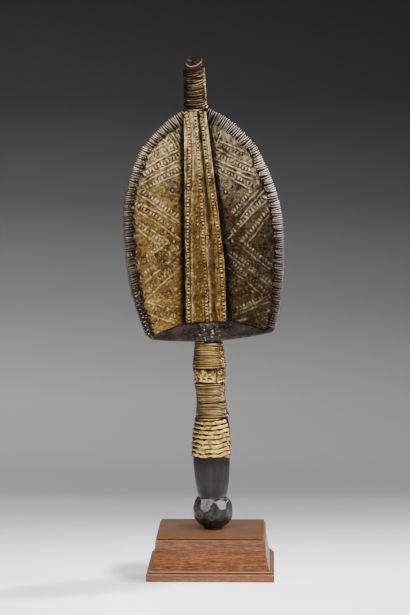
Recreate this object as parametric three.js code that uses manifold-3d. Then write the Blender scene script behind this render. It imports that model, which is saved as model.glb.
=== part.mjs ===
// A Central African reliquary guardian figure on its wooden display stand.
// One carved wooden figure (a shovel-shaped hollow head, a knob, a neck and a bulb foot) is dressed in
// brass: two embossed cheek sheets, a centre band, wire stitched round the rim and wound round the knob
// and neck, a collar and a ribbed sheet on the shaft. It rests on a moulded square stand.
// Millimetres, +Z up, the face looks along -Y. The origin is the centre of the stand's underside.
import * as THREE from "three";
import { mergeVertices } from "three/addons/utils/BufferGeometryUtils.js";
import Module from "manifold-3d";

const wasm = await Module();
wasm.setup();

// Clearance between two pieces that touch
const GAP = 0.3;

// Stand: a square block with a plinth, a bead, sloping sides and a raised top
const STAND_WIDTH = 120;
const STAND_HEIGHT = 40.5;
const PLINTH_HEIGHT = 8;
const PLINTH_ARRIS = 0.7;
const BEAD_INSET = 2.4;
const BEAD_HEIGHT = 1.7;
const SLOPE_FOOT_INSET = 4.3;
const SLOPE_TOP_INSET = 8.5;
const TOP_STEP_INSET = 1.4;
const TOP_STEP_HEIGHT = 2.6;

// Bulb at the foot of the figure, cut in flat facets, on a short stub
const FOOT_RADIUS = 9.4;
const FOOT_HEIGHT = 3;
const BULB_SIDES = 10;
const BULB_RADIUS = 18.9;
const BULB_TOP_RADIUS = 13.8;
const BULB_TOP = 31;
const BULB_MIDDLE = 18.5;

// Shaft and neck above the bulb, leaning a little to the left
const FOOT_SHIFT = 1.7;
const NECK_LEAN = 1.44;
const ROUND_SIDES = 20;
const SHAFT_ROOT = 3;
const SHAFT_ROOT_RADIUS = 12.6;
const SHAFT_SWELL_RADIUS = 15.6;
const BELLY_BELOW_SHEET = 8;
const BELLY_RADIUS = 17.7;
const SHEET_FOOT_RADIUS = 16.9;
const SHEET_MIDDLE_RADIUS = 15.9;
const SHEET_HEAD_RADIUS = 14;
const NECK_WAIST_RADIUS = 12.5;
const COLLAR_RADIUS = 14;
const NECK_RING_RADIUS = 14.7;
const NECK_TOP_RADIUS = 12.4;

// Brass on the shaft and neck, stacked upwards from the bare part of the shaft
const SHEET = 0.9;
const WIRE = 1.2;
const WRAP_GAP = 0.4;
const SHAFT_SHEET_FOOT = 69.5;
const SHAFT_SHEET_LENGTH = 42;
const SHAFT_SHEET_RIBS = 9;
const SHAFT_RIB_RISE = 0.7;
const SHAFT_SHEET_FROM = -118;
const SHAFT_SHEET_TO = 62;
const LOWER_WIRE_LENGTH = 29;
const LOWER_WIRE_TURNS = 6;
const COLLAR_LENGTH = 12.8;
const COLLAR_LIP = 0.5;
const COLLAR_LIP_WIDTH = 1.6;
const UPPER_WIRE_LENGTH = 23.2;
const UPPER_WIRE_TURNS = 5;
const NECK_BARE = 0.5;
const SHAFT_SHEET_HEAD = SHAFT_SHEET_FOOT + SHAFT_SHEET_LENGTH;
const LOWER_WIRE_FOOT = SHAFT_SHEET_HEAD + WRAP_GAP;
const LOWER_WIRE_HEAD = LOWER_WIRE_FOOT + LOWER_WIRE_LENGTH;
const COLLAR_FOOT = LOWER_WIRE_HEAD + WRAP_GAP;
const COLLAR_HEAD = COLLAR_FOOT + COLLAR_LENGTH;
const UPPER_WIRE_FOOT = COLLAR_HEAD + WRAP_GAP;
const UPPER_WIRE_HEAD = UPPER_WIRE_FOOT + UPPER_WIRE_LENGTH;
const NECK_TOP = UPPER_WIRE_HEAD + NECK_BARE;

// Head, in its own frame: origin at the neck's top, leaning by HEAD_LEAN
const HEAD_LEAN = 2.4;
const HEAD_HEIGHT = 221;
// Each side's outline: half the width at its widest height, how the cheek narrows down to the chin
// and the shoulder rounds up to the knob, and how far the chin's corner lies above its middle
const LEFT_OUTLINE = {
  half: 74.4,
  widest: 113,
  cheekDrop: 0.305,
  cheekPower: 1.85,
  shoulderPower: 2.1,
  shoulderRound: 0.59,
  cornerRise: 3.2,
};
const RIGHT_OUTLINE = {
  half: 75.3,
  widest: 95,
  cheekDrop: 0.192,
  cheekPower: 1.4,
  shoulderPower: 1.85,
  shoulderRound: 0.625,
  cornerRise: 5.6,
};
const CHIN_HEIGHT = 2.2;
const CORNER_ROUND = 4.8;
const CHIN_LIP = 0.8;
const RIM_THICKNESS = 8;
const CHIN_FRONT = -15;
const BOW_BACK = 22;
const BOW_FORWARD = 38;
const VALLEY_DEPTH = 24;
const VALLEY_TOP_DEPTH = 10;
const VALLEY_POWER = 1.15;
const KEEL_RISE = 4;
const KEEL_AT_CHIN = 0.55;
const SILL_SLOPE = 1.05;
const ROOT_BACK = 8;

// Centre band: heights with its left and right edge, over a raised bar
const BAND_FOOT = 19.5;
const BAND_HEAD = HEAD_HEIGHT - 2;
const BAND_LEFT_FOOT = 22;
const BAND_LEFT_HEAD = 14.6;
const BAND_RIGHT_FOOT = 18;
const BAND_RIGHT_HEAD = 7.6;
const BAND_RIGHT_BEND = 75;
const BAR_FOOT_DEPTH = 14;
const BAR_HEAD_DEPTH = 0;
const BAR_ROOT = 8;
const BAR_INSET = 0.8;
const BAND_RIDGE_RISE = 0.9;
const BAND_RIDGE_HALF = 2.6;
const FOLD_FOOT = 60;
const FOLD_LENGTH = 110;

// Cheek sheets
const SHEET_CLEARANCE = 1.2;
const SHEET_MARGIN = 1.2;
const STITCH_CLEARANCE = 1;
const SHEET_BELOW_TOP = 15;
const SHEET_HEAD = HEAD_HEIGHT - SHEET_BELOW_TOP;
const SHEET_ROWS = 13;
const SHEET_COLUMNS = 4;

// Wire stitched round the rim
const STITCH_LEG = 9.5;
const STITCH_BACK_LEG = 6.5;
const STITCH_RISE = 1.5;
const STITCH_LOW = 0.7;
const STITCH_GAP = 0.5;
const STITCH_RIBS = 20;
const STITCH_ABOVE_CORNER = 2;
const STITCH_BELOW_TOP = 6;
const STITCH_HEAD = HEAD_HEIGHT - STITCH_BELOW_TOP;

// Knob above the head
const KNOB_SHIFT = -3;
const KNOB_LENGTH = 51;
const KNOB_ROOT = 14;
const KNOB_ROOT_RADIUS = 10;
const KNOB_END_RADIUS = 8.1;
const KNOB_ARRIS = 1.5;
const KNOB_FOOT_LEAN = 15;
const KNOB_END_LEAN = 30;
const KNOB_WIRE_FROM = 5;
const KNOB_BARE_END = 8;
const KNOB_TURNS = 8;
const KNOB_SIDES = 12;

// Embossing
const RIDGE_HALF = 0.9;
const RIDGE_RISE = 1.0;
const BOSS_RADIUS = 2.2;
const BOSS_RISE = 1.4;

// Nails: a low domed head on a short shank
const NAIL_HEAD_RADIUS = 1.7;
const NAIL_HEAD_HEIGHT = 1.1;
const NAIL_SHANK_RADIUS = 0.7;
const NAIL_SHANK_LENGTH = 5;

const radians = THREE.MathUtils.degToRad;
const lerp = THREE.MathUtils.lerp;
const clamp = THREE.MathUtils.clamp;
const point = (x, y, z) => new THREE.Vector3(x, y, z);

// Builds a closed solid between two grids of points with the same layout: over(i, j) is the outer
// face and under(i, j) the inner one, for rows 0..rows and columns 0..columns.
function slab(rows, columns, over, under) {
  const positions = [];
  const quad = (a, b, c, d) => {
    for (const p of [a, b, c, a, c, d]) positions.push(p.x, p.y, p.z);
  };
  const grid = (face) =>
    Array.from({ length: rows + 1 }, (_, i) =>
      Array.from({ length: columns + 1 }, (_, j) => face(i, j)),
    );
  const top = grid(over);
  const low = grid(under);
  for (let i = 0; i < rows; i++)
    for (let j = 0; j < columns; j++) {
      quad(top[i][j], top[i][j + 1], top[i + 1][j + 1], top[i + 1][j]);
      quad(low[i][j], low[i + 1][j], low[i + 1][j + 1], low[i][j + 1]);
    }
  for (let i = 0; i < rows; i++) {
    quad(top[i][0], top[i + 1][0], low[i + 1][0], low[i][0]);
    quad(top[i + 1][columns], top[i][columns], low[i][columns], low[i + 1][columns]);
  }
  for (let j = 0; j < columns; j++) {
    quad(top[0][j + 1], top[0][j], low[0][j], low[0][j + 1]);
    quad(top[rows][j], top[rows][j + 1], low[rows][j + 1], low[rows][j]);
  }
  return closed(positions);
}

// Joins rings of points, given from one end to the other, into a solid with flat fan ends.
function loft(rings) {
  const positions = [];
  const triangle = (a, b, c) => {
    for (const p of [a, b, c]) positions.push(p.x, p.y, p.z);
  };
  const count = rings[0].length;
  for (let i = 0; i + 1 < rings.length; i++)
    for (let j = 0; j < count; j++) {
      const k = (j + 1) % count;
      triangle(rings[i][j], rings[i][k], rings[i + 1][k]);
      triangle(rings[i][j], rings[i + 1][k], rings[i + 1][j]);
    }
  const first = rings[0];
  const last = rings[rings.length - 1];
  for (let j = 1; j + 1 < count; j++) {
    triangle(first[0], first[j + 1], first[j]);
    triangle(last[0], last[j], last[j + 1]);
  }
  return closed(positions);
}

// A geometry from loose triangles, with shared corners merged and faces turned outwards.
function closed(positions) {
  const loose = new THREE.BufferGeometry();
  loose.setAttribute("position", new THREE.Float32BufferAttribute(positions, 3));
  const merged = mergeVertices(loose, 1e-3);
  const made = new wasm.Manifold(
    new wasm.Mesh({
      numProp: 3,
      vertProperties: merged.attributes.position.array,
      triVerts: new Uint32Array(merged.index.array),
    }),
  );
  if (made.volume() >= 0) return merged;
  const index = merged.index.array;
  for (let i = 0; i < index.length; i += 3)
    [index[i + 1], index[i + 2]] = [index[i + 2], index[i + 1]];
  return merged;
}

function solid(geometry) {
  const bare = new THREE.BufferGeometry();
  bare.setAttribute("position", geometry.getAttribute("position"));
  bare.setIndex(geometry.index);
  const merged = mergeVertices(bare, 1e-3);
  return new wasm.Manifold(
    new wasm.Mesh({
      numProp: 3,
      vertProperties: merged.attributes.position.array,
      triVerts: new Uint32Array(merged.index.array),
    }),
  );
}

function geometryOf(manifold) {
  const mesh = manifold.getMesh();
  const geometry = new THREE.BufferGeometry();
  const positions = new Float32Array(mesh.numVert * 3);
  for (let i = 0; i < mesh.numVert; i++)
    for (let k = 0; k < 3; k++)
      positions[3 * i + k] = mesh.vertProperties[mesh.numProp * i + k];
  geometry.setAttribute("position", new THREE.BufferAttribute(positions, 3));
  geometry.setIndex(new THREE.BufferAttribute(new Uint32Array(mesh.triVerts), 1));
  geometry.computeVertexNormals();
  return geometry;
}

const united = (geometries) =>
  geometryOf(geometries.map(solid).reduce((all, next) => all.add(next)));

// A smooth curve through [height, value] pairs, as a function of height.
function profile(stations) {
  const curve = new THREE.SplineCurve(stations.map(([h, v]) => new THREE.Vector2(h, v)));
  const samples = curve.getPoints(160);
  return (h) => {
    const at = samples.findIndex((p) => p.x >= h);
    if (at === 0) return samples[0].y;
    if (at < 0) return samples[samples.length - 1].y;
    const a = samples[at - 1];
    const b = samples[at];
    return lerp(a.y, b.y, (h - a.x) / (b.x - a.x || 1));
  };
}

// Turns a lathe made about Y into one about Z that leans with the shaft.
const shaftLean = new THREE.Matrix4().makeShear(0, 0, 0, 0, -Math.tan(radians(NECK_LEAN)), 0);
const upright = new THREE.Matrix4().makeRotationX(Math.PI / 2);
function turned(outline, sides = ROUND_SIDES) {
  const points = outline.map(([radius, height]) => new THREE.Vector2(radius, height));
  const geometry = new THREE.LatheGeometry(points, sides);
  geometry.applyMatrix4(upright).applyMatrix4(shaftLean).translate(FOOT_SHIFT, 0, 0);
  return geometry;
}

// A sleeve between two outlines, each listed from its foot up.
function turnedRing(inside, outside) {
  const loop = [...inside.toReversed(), ...outside];
  return turned([...loop, loop[0]]);
}

// Radius of the shaft's and neck's wood: a belly below the ribbed sheet, a waist in the lower wire
// and a ring at the upper wire's foot
const SHAFT_FOOT = BULB_TOP - SHAFT_ROOT;
const BELLY = SHAFT_SHEET_FOOT - BELLY_BELOW_SHEET;
const WAIST = lerp(LOWER_WIRE_FOOT, LOWER_WIRE_HEAD, 0.55);
const RING = lerp(UPPER_WIRE_FOOT, UPPER_WIRE_HEAD, 0.17);
const woodRadius = profile([
  [SHAFT_FOOT, SHAFT_ROOT_RADIUS],
  [lerp(SHAFT_FOOT, BELLY, 0.4), SHAFT_SWELL_RADIUS],
  [BELLY, BELLY_RADIUS],
  [SHAFT_SHEET_FOOT, SHEET_FOOT_RADIUS],
  [lerp(SHAFT_SHEET_FOOT, SHAFT_SHEET_HEAD, 0.5), SHEET_MIDDLE_RADIUS],
  [SHAFT_SHEET_HEAD, SHEET_HEAD_RADIUS],
  [WAIST, NECK_WAIST_RADIUS],
  [lerp(COLLAR_FOOT, COLLAR_HEAD, 0.5), COLLAR_RADIUS],
  [RING, NECK_RING_RADIUS],
  [NECK_TOP, NECK_TOP_RADIUS],
]);

const outlineOf = (side) => (side < 0 ? LEFT_OUTLINE : RIGHT_OUTLINE);

// Height of the chin's lower edge at a share u of the half width
const chinHeight = (side, u) => CHIN_HEIGHT + outlineOf(side).cornerRise * u * u;

// Outline of the head: half its width at a height, on the left (side -1) or right (side 1).
function halfWidth(side, h) {
  const { half, widest, cheekDrop, cheekPower, shoulderPower, shoulderRound } = outlineOf(side);
  if (h > widest) {
    const t = Math.min((h - widest) / (HEAD_HEIGHT + 2 - widest), 1);
    return half * Math.pow(1 - Math.pow(t, shoulderPower), shoulderRound);
  }
  const t = (widest - h) / widest;
  const corner = clamp((chinHeight(side, 1) + CORNER_ROUND - h) / CORNER_ROUND, 0, 1);
  return (
    half * (1 - cheekDrop * Math.pow(t, cheekPower)) -
    CORNER_ROUND * (1 - Math.sqrt(1 - corner * corner))
  );
}

// Half the width that is left at a height when a strip of the given width is taken off the outline.
function insetHalf(side, h, strip) {
  const samples = 200;
  const clearOf = (x) => {
    let nearest = Infinity;
    for (let i = 0; i <= samples; i++) {
      const at = lerp(CHIN_HEIGHT, HEAD_HEIGHT, i / samples);
      nearest = Math.min(nearest, Math.hypot(halfWidth(side, at) - x, at - h));
    }
    return nearest >= strip;
  };
  let low = 0;
  let high = halfWidth(side, h);
  for (let step = 0; step < 12; step++) {
    const middle = (low + high) / 2;
    if (clearOf(middle)) low = middle;
    else high = middle;
  }
  return low;
}

// Front edge of the rim, which bows back at the cheeks and comes forward at the top.
function rimFront(h) {
  const t = h / HEAD_HEIGHT;
  return CHIN_FRONT + BOW_BACK * t - BOW_FORWARD * t * t;
}

const deepest = (h) =>
  lerp(VALLEY_DEPTH, VALLEY_TOP_DEPTH, Math.pow(clamp(h / HEAD_HEIGHT, 0, 1), 3));

// How far the hollow of the face lies behind the rim, at a share u of the half width.
const valley = (u, h) => deepest(h) * (1 - Math.pow(Math.min(u, 1), VALLEY_POWER));

// The sill that closes the hollow above the chin slopes back and up from the chin's lip.
const sill = (side, u, h) => Math.max(0, (h - chinHeight(side, u) - CHIN_LIP) * SILL_SLOPE);
const sillLine = (side, u) => chinHeight(side, u) + CHIN_LIP + valley(u, 0) / SILL_SLOPE;

const sideOf = (x) => (x < 0 ? -1 : 1);
const share = (x, h) => Math.min(Math.abs(x) / halfWidth(sideOf(x), h), 1);
function frontOf(x, h) {
  const u = share(x, h);
  return rimFront(h) + Math.min(valley(u, h), sill(sideOf(x), u, h));
}
function backOf(x, h) {
  const keel = (deepest(h) + KEEL_RISE) * lerp(KEEL_AT_CHIN, 1, clamp(h / deepest(0), 0, 1));
  return rimFront(h) + RIM_THICKNESS + keel * (1 - Math.pow(share(x, h), 1.3));
}

const bandLeft = (h) => -lerp(BAND_LEFT_FOOT, BAND_LEFT_HEAD, clamp(h / BAND_HEAD, 0, 1));
function bandRight(h) {
  const above = clamp((h - BAND_RIGHT_BEND) / (BAND_HEAD - BAND_RIGHT_BEND), 0, 1);
  return lerp(BAND_RIGHT_FOOT, BAND_RIGHT_HEAD, above);
}
const bandEdge = (side, h) => (side < 0 ? -bandLeft(h) : bandRight(h));
function barFront(h) {
  const t = clamp(h / HEAD_HEIGHT, 0, 1);
  return rimFront(h) + lerp(BAR_FOOT_DEPTH, BAR_HEAD_DEPTH, Math.pow(t, 3));
}

// Distances from the middle of the columns of the face's grid, out to the edge of the board:
// the bar's edge, then the sheet's inner and outer edges, then the strip under the stitches.
function faceColumns(side, h) {
  const half = halfWidth(side, h);
  const bar = Math.min(bandEdge(side, h), 0.6 * half);
  const near = bar + Math.min(SHEET_CLEARANCE, 0.1 * half);
  const far = clamp(insetHalf(side, h, STITCH_LEG + STITCH_CLEARANCE), near + 0.1 * half, 0.94 * half);
  const sheet = [];
  for (let k = 0; k <= SHEET_COLUMNS; k++) sheet.push(lerp(near, far, k / SHEET_COLUMNS));
  return [0, bar, ...sheet, (far + half) / 2, half];
}

// Grid of the face as [x, height]: rows run from the chin to the top by way of the sill's line and
// the sheet's foot and head, columns from the left edge to the right. The board and both sheets use
// it, so their flat facets lie parallel.
const SIDE_COLUMNS = SHEET_COLUMNS + 4;
const FIRST_SHEET_ROW = 2;
const FIRST_SHEET_COLUMN = 2;
const TOP_ROWS = 4;
const FACE_ROWS = FIRST_SHEET_ROW + SHEET_ROWS + TOP_ROWS;
const FACE_GRID = faceGrid();
function denserAtEnds(t) {
  return t - 0.09 * Math.sin(2 * Math.PI * t);
}
function faceGrid() {
  const column = (side, k) => {
    const low = CHIN_HEIGHT + CORNER_ROUND;
    const u = faceColumns(side, low)[k] / halfWidth(side, low);
    const foot = sillLine(side, u) + 1.5 * GAP;
    const heights = [chinHeight(side, u), sillLine(side, u)];
    for (let i = 0; i <= SHEET_ROWS; i++)
      heights.push(lerp(foot, SHEET_HEAD, denserAtEnds(i / SHEET_ROWS)));
    for (let i = 1; i <= TOP_ROWS; i++)
      heights.push(lerp(SHEET_HEAD, HEAD_HEIGHT, 1 - Math.pow(1 - i / TOP_ROWS, 1.5)));
    return heights.map((h) => [side * faceColumns(side, h)[k], h]);
  };
  const columns = [];
  for (let k = SIDE_COLUMNS; k > 0; k--) columns.push(column(-1, k));
  for (let k = 0; k <= SIDE_COLUMNS; k++) columns.push(column(1, k));
  return columns;
}

// The hollow board of the head
function headBoard() {
  return slab(
    FACE_ROWS,
    2 * SIDE_COLUMNS,
    (i, j) => {
      const [x, h] = FACE_GRID[j][i];
      return point(x, frontOf(x, h), h);
    },
    (i, j) => {
      const [x, h] = FACE_GRID[j][i];
      return point(x, backOf(x, h), h);
    },
  );
}

// The neck's wood running up over the sill to the bar's foot. A station is [height, half width,
// front], as shares of the band's foot and of the neck's radius.
function neckRoot() {
  const neck = NECK_TOP_RADIUS;
  const stations = [
    [-0.15, 0.85, -0.85],
    [0.03, 1, -1],
    [0.25, 1, -1],
    [0.62, 1, -0.72],
    [0.97, 1, -0.2],
  ];
  const rings = stations.map(([up, half, front]) =>
    Array.from({ length: ROUND_SIDES }, (_, k) => {
      const a = (2 * Math.PI * k) / ROUND_SIDES;
      const middle = (front * neck + ROOT_BACK) / 2;
      const y = middle + (ROOT_BACK - middle) * Math.sin(a);
      return point(half * neck * Math.cos(a), y, up * BAND_FOOT);
    }),
  );
  return loft(rings);
}

// The raised bar under the centre band
function centreBar() {
  const rows = 12;
  const rings = Array.from({ length: rows + 1 }, (_, i) => {
    const h = lerp(BAND_FOOT - BAR_ROOT, HEAD_HEIGHT - 1, i / rows);
    const left = bandLeft(h) + BAR_INSET;
    const right = bandRight(h) - BAR_INSET;
    const front = barFront(h);
    const back = rimFront(h) + deepest(h) + 2;
    return [point(left, front, h), point(right, front, h), point(right, back, h), point(left, back, h)];
  });
  return loft(rings);
}

// Points and directions along the knob, which leans further forward towards its end.
function knobAxis(along) {
  const steps = 24;
  let y = barFront(HEAD_HEIGHT) + KNOB_ROOT_RADIUS + 1;
  let h = HEAD_HEIGHT;
  const leanAt = (d) => radians(lerp(KNOB_FOOT_LEAN, KNOB_END_LEAN, clamp(d / KNOB_LENGTH, 0, 1)));
  for (let i = 0; i < steps; i++) {
    const lean = leanAt(((i + 0.5) / steps) * along);
    y -= (Math.sin(lean) * along) / steps;
    h += (Math.cos(lean) * along) / steps;
  }
  const lean = leanAt(along);
  return { centre: point(KNOB_SHIFT, y, h), lean };
}

function knobRing(along, radius) {
  const { centre, lean } = knobAxis(along);
  return Array.from({ length: KNOB_SIDES }, (_, k) => {
    const a = (2 * Math.PI * k) / KNOB_SIDES;
    const back = radius * Math.sin(a);
    const x = centre.x + radius * Math.cos(a);
    return point(x, centre.y + back * Math.cos(lean), centre.z + back * Math.sin(lean));
  });
}

const knobRadius = (along) =>
  lerp(KNOB_ROOT_RADIUS, KNOB_END_RADIUS, clamp(along / KNOB_LENGTH, 0, 1));

function knob() {
  const stations = [0, KNOB_LENGTH / 3, (2 * KNOB_LENGTH) / 3, KNOB_LENGTH - KNOB_ARRIS];
  const rings = stations.map((along) => knobRing(along, knobRadius(along)));
  rings.unshift(knobRing(-KNOB_ROOT, KNOB_ROOT_RADIUS * 0.6));
  rings.push(knobRing(KNOB_LENGTH, KNOB_END_RADIUS - KNOB_ARRIS));
  return loft(rings);
}

// The head's frame: at the neck's top, leaning to the left
const headFrame = new THREE.Matrix4()
  .makeTranslation(FOOT_SHIFT - NECK_TOP * Math.tan(radians(NECK_LEAN)), 0, NECK_TOP)
  .multiply(new THREE.Matrix4().makeRotationY(-radians(HEAD_LEAN)));

// Shaft and neck in one turned piece, from inside the bulb up to the head
function shaft() {
  const rows = 11;
  const outline = [[0, SHAFT_FOOT]];
  for (let i = 0; i <= rows; i++) {
    const h = lerp(SHAFT_FOOT, NECK_TOP, i / rows);
    outline.push([woodRadius(h), h]);
  }
  outline.push([0, NECK_TOP]);
  return turned(outline);
}

function bulb() {
  const outline = [
    [0, 0],
    [FOOT_RADIUS, 0],
    [FOOT_RADIUS, FOOT_HEIGHT],
    [BULB_RADIUS * 0.88, lerp(FOOT_HEIGHT, BULB_MIDDLE, 0.45)],
    [BULB_RADIUS, BULB_MIDDLE],
    [BULB_RADIUS * 0.95, lerp(BULB_MIDDLE, BULB_TOP, 0.5)],
    [BULB_TOP_RADIUS, BULB_TOP],
    [0, BULB_TOP],
  ];
  return turned(outline, BULB_SIDES);
}

// The carved wooden figure, in the figure's frame
function carvedFigure(holes) {
  const head = [headBoard(), neckRoot(), centreBar(), knob()].map((g) => g.applyMatrix4(headFrame));
  let wood = [...head, shaft(), bulb()].map(solid).reduce((all, next) => all.add(next));
  for (const hole of holes) wood = wood.subtract(hole);
  return geometryOf(wood);
}

// A rib over the cheek from one point of the face to another, sunk a little into the sheet.
function ridge([x0, h0], [x1, h1]) {
  const steps = 2;
  const along = new THREE.Vector2(x1 - x0, h1 - h0).normalize();
  const rings = Array.from({ length: steps + 1 }, (_, i) => {
    const x = lerp(x0, x1, i / steps);
    const h = lerp(h0, h1, i / steps);
    const edge = (side, rise) => {
      const px = x - side * RIDGE_HALF * along.y;
      const ph = h + side * RIDGE_HALF * along.x;
      return point(px, sheetFace(px, ph) - rise, ph);
    };
    return [edge(-1, -0.4), edge(1, -0.4), edge(0.3, RIDGE_RISE), edge(-0.3, RIDGE_RISE)];
  });
  return loft(rings);
}

const sheetFace = (x, h) => frontOf(x, h) - GAP - SHEET;

function boss([x, h]) {
  const sides = 8;
  const ring = (radius, rise) =>
    Array.from({ length: sides }, (_, k) => {
      const a = (2 * Math.PI * k) / sides;
      const px = x + radius * Math.cos(a);
      const ph = h + radius * Math.sin(a);
      return point(px, sheetFace(px, ph) - rise, ph);
    });
  return loft([ring(BOSS_RADIUS, -0.4), ring(BOSS_RADIUS, 0.2), ring(BOSS_RADIUS * 0.5, BOSS_RISE)]);
}

// Embossed ribs of each cheek in zigzag groups from the top down, by their two ends, and its bosses.
// A place is [distance out from the middle, height], both in percent of the head's height.
const LEFT_RIBS = [
  [[12, 90.5], [8.5, 85]],
  [[8.5, 83.5], [23, 76.5]],
  [[7.5, 79.5], [24, 71.5]],
  [[8, 73.5], [27, 66]],
  [[27, 65.5], [9.5, 51]],
  [[29, 59.5], [10, 44.5]],
  [[29, 55], [16.5, 44.5]],
  [[17, 43], [27.5, 35.5]],
  [[10, 40.5], [26.5, 26.5]],
  [[10.5, 33.5], [25, 20.5]],
  [[26, 19], [11.5, 12.5]],
  [[25.5, 14], [12.5, 9.5]],
];
const RIGHT_RIBS = [
  [[8.5, 85.5], [18, 81.5]],
  [[7, 83], [21, 75]],
  [[6, 78.5], [22.5, 71]],
  [[7, 73], [22.5, 66]],
  [[24.5, 65.5], [12, 52.5]],
  [[28, 61], [9.5, 43.5]],
  [[28.5, 55], [18.5, 42.5]],
  [[14.5, 41.5], [28.5, 27.5]],
  [[10, 37.5], [28, 22]],
  [[10, 32], [23.5, 20]],
  [[26.5, 19], [11.5, 13.5]],
  [[26, 13], [12.5, 9]],
];
const LEFT_BOSSES = [[13, 66], [13, 44], [13.5, 23]];
const RIGHT_BOSSES = [[10, 64.5], [12, 43], [12.5, 21.5]];

// One cheek's sheet, from beside the band out to the stitches
function cheekSheet(side, ribs, bosses) {
  const inwardColumns = SIDE_COLUMNS - FIRST_SHEET_COLUMN - SHEET_COLUMNS;
  const firstColumn = side < 0 ? inwardColumns : SIDE_COLUMNS + FIRST_SHEET_COLUMN;
  const at = (i, j) => FACE_GRID[firstColumn + j][FIRST_SHEET_ROW + i];
  const plate = slab(
    SHEET_ROWS,
    SHEET_COLUMNS,
    (i, j) => {
      const [x, h] = at(i, j);
      return point(x, sheetFace(x, h), h);
    },
    (i, j) => {
      const [x, h] = at(i, j);
      return point(x, frontOf(x, h) - GAP, h);
    },
  );
  const onSide = ([out, up]) => {
    const h = (up / 100) * HEAD_HEIGHT;
    const columns = faceColumns(side, h);
    const near = columns[FIRST_SHEET_COLUMN] + SHEET_MARGIN;
    const far = columns[FIRST_SHEET_COLUMN + SHEET_COLUMNS] - SHEET_MARGIN;
    const x = clamp((out / 100) * HEAD_HEIGHT, near, far);
    return [side * x, Math.max(h, sillLine(side, x / halfWidth(side, h)) + 2 * SHEET_MARGIN)];
  };
  const raised = [
    ...ribs.map(([from, to]) => ridge(onSide(from), onSide(to))),
    ...bosses.map((b) => boss(onSide(b))),
  ];
  return united([plate, ...raised]);
}

// Where the three beaded ridges of the centre band run, as shares of its width.
const bandRidges = (h) => {
  const t = clamp(h / BAND_HEAD, 0, 1);
  return [lerp(0.1, 0.22, t), lerp(0.53, 0.47, t), lerp(0.93, 0.76, t)];
};

// Rise of the band's face at a place across it: three ridges, and a fold right of the middle one.
function bandRise(x, h) {
  const left = bandLeft(h);
  const width = bandRight(h) - left;
  const across = (share) => left + share * width;
  const [a, b, c] = bandRidges(h).map(across);
  const bump = (centre) => Math.max(0, 1 - Math.abs(x - centre) / BAND_RIDGE_HALF);
  const fold = Math.max(0, 1 - Math.abs(x - lerp(b, c, 0.5)) / (0.5 * BAND_RIDGE_HALF));
  const foldFade = clamp((h - FOLD_FOOT) / FOLD_LENGTH, 0.15, 1);
  return BAND_RIDGE_RISE * Math.max(bump(a), bump(b), bump(c)) - 0.5 * SHEET * fold * foldFade;
}

function bandSheet() {
  const rows = 8;
  const marks = (h) => {
    const left = bandLeft(h);
    const width = bandRight(h) - left;
    const [a, b, c] = bandRidges(h).map((s) => left + s * width);
    const half = Math.min(BAND_RIDGE_HALF, (c - b) / 3);
    const middle = lerp(b, c, 0.5);
    return [
      left, Math.max(a - half, left + 0.3), a, a + half,
      b - half, b, b + half,
      middle, c - half, c, Math.min(c + half, left + width - 0.3), left + width,
    ];
  };
  const columns = marks(0).length - 1;
  const heightAt = (i) => lerp(BAND_FOOT, BAND_HEAD, i / rows);
  return slab(
    rows,
    columns,
    (i, j) => {
      const h = heightAt(i);
      const x = marks(h)[j];
      return point(x, barFront(h) - GAP - SHEET - bandRise(x, h), h);
    },
    (i, j) => {
      const h = heightAt(i);
      return point(marks(h)[j], barFront(h) - GAP, h);
    },
  );
}

// Heights that divide one side of the outline, between two heights, into steps of equal length.
function evenHeights(side, from, to, steps) {
  const samples = 400;
  const lengths = [0];
  const heightAt = (i) => lerp(from, to, i / samples);
  for (let i = 1; i <= samples; i++) {
    const rise = heightAt(i) - heightAt(i - 1);
    const run = halfWidth(side, heightAt(i)) - halfWidth(side, heightAt(i - 1));
    lengths.push(lengths[i - 1] + Math.hypot(rise, run));
  }
  const heights = [];
  for (let k = 0; k <= steps; k++) {
    const wanted = (lengths[samples] * k) / steps;
    const i = Math.max(1, lengths.findIndex((length) => length >= wanted - 1e-9));
    const within = (wanted - lengths[i - 1]) / (lengths[i] - lengths[i - 1]);
    heights.push(lerp(heightAt(i - 1), heightAt(i), within));
  }
  return heights;
}

// Stitched wire along one side of the rim, as a ribbed channel round the edge of the board.
function rimStitches(side) {
  const stations = 2 * STITCH_RIBS;
  const foot = chinHeight(side, 1) + CORNER_ROUND + STITCH_ABOVE_CORNER;
  const heights = evenHeights(side, foot, STITCH_HEAD, stations);
  const across = (i, inboard) => {
    const h = heights[i];
    const step = 0.5;
    const slope = (halfWidth(side, h + step) - halfWidth(side, h - step)) / (2 * step);
    const length = Math.hypot(slope, 1);
    return [side * (halfWidth(side, h) - inboard / length), h + (inboard * slope) / length];
  };
  const front = (i, inboard, rise) => {
    const [x, h] = across(i, inboard);
    return point(x, (inboard > 0 ? frontOf(x, h) : rimFront(h)) - rise, h);
  };
  const back = (i, inboard, rise) => {
    const [x, h] = across(i, inboard);
    return point(x, (inboard > 0 ? backOf(x, h) : rimFront(h) + RIM_THICKNESS) + rise, h);
  };
  const section = (i, rise) => [
    front(i, STITCH_LEG, rise),
    front(i, -rise, rise),
    back(i, -rise, rise),
    back(i, STITCH_BACK_LEG, rise),
  ];
  return slab(
    stations,
    section(0, STITCH_GAP).length - 1,
    (i, j) => section(i, STITCH_GAP + (i % 2 ? STITCH_RISE : STITCH_LOW))[j],
    (i, j) => section(i, STITCH_GAP)[j],
  );
}

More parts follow.
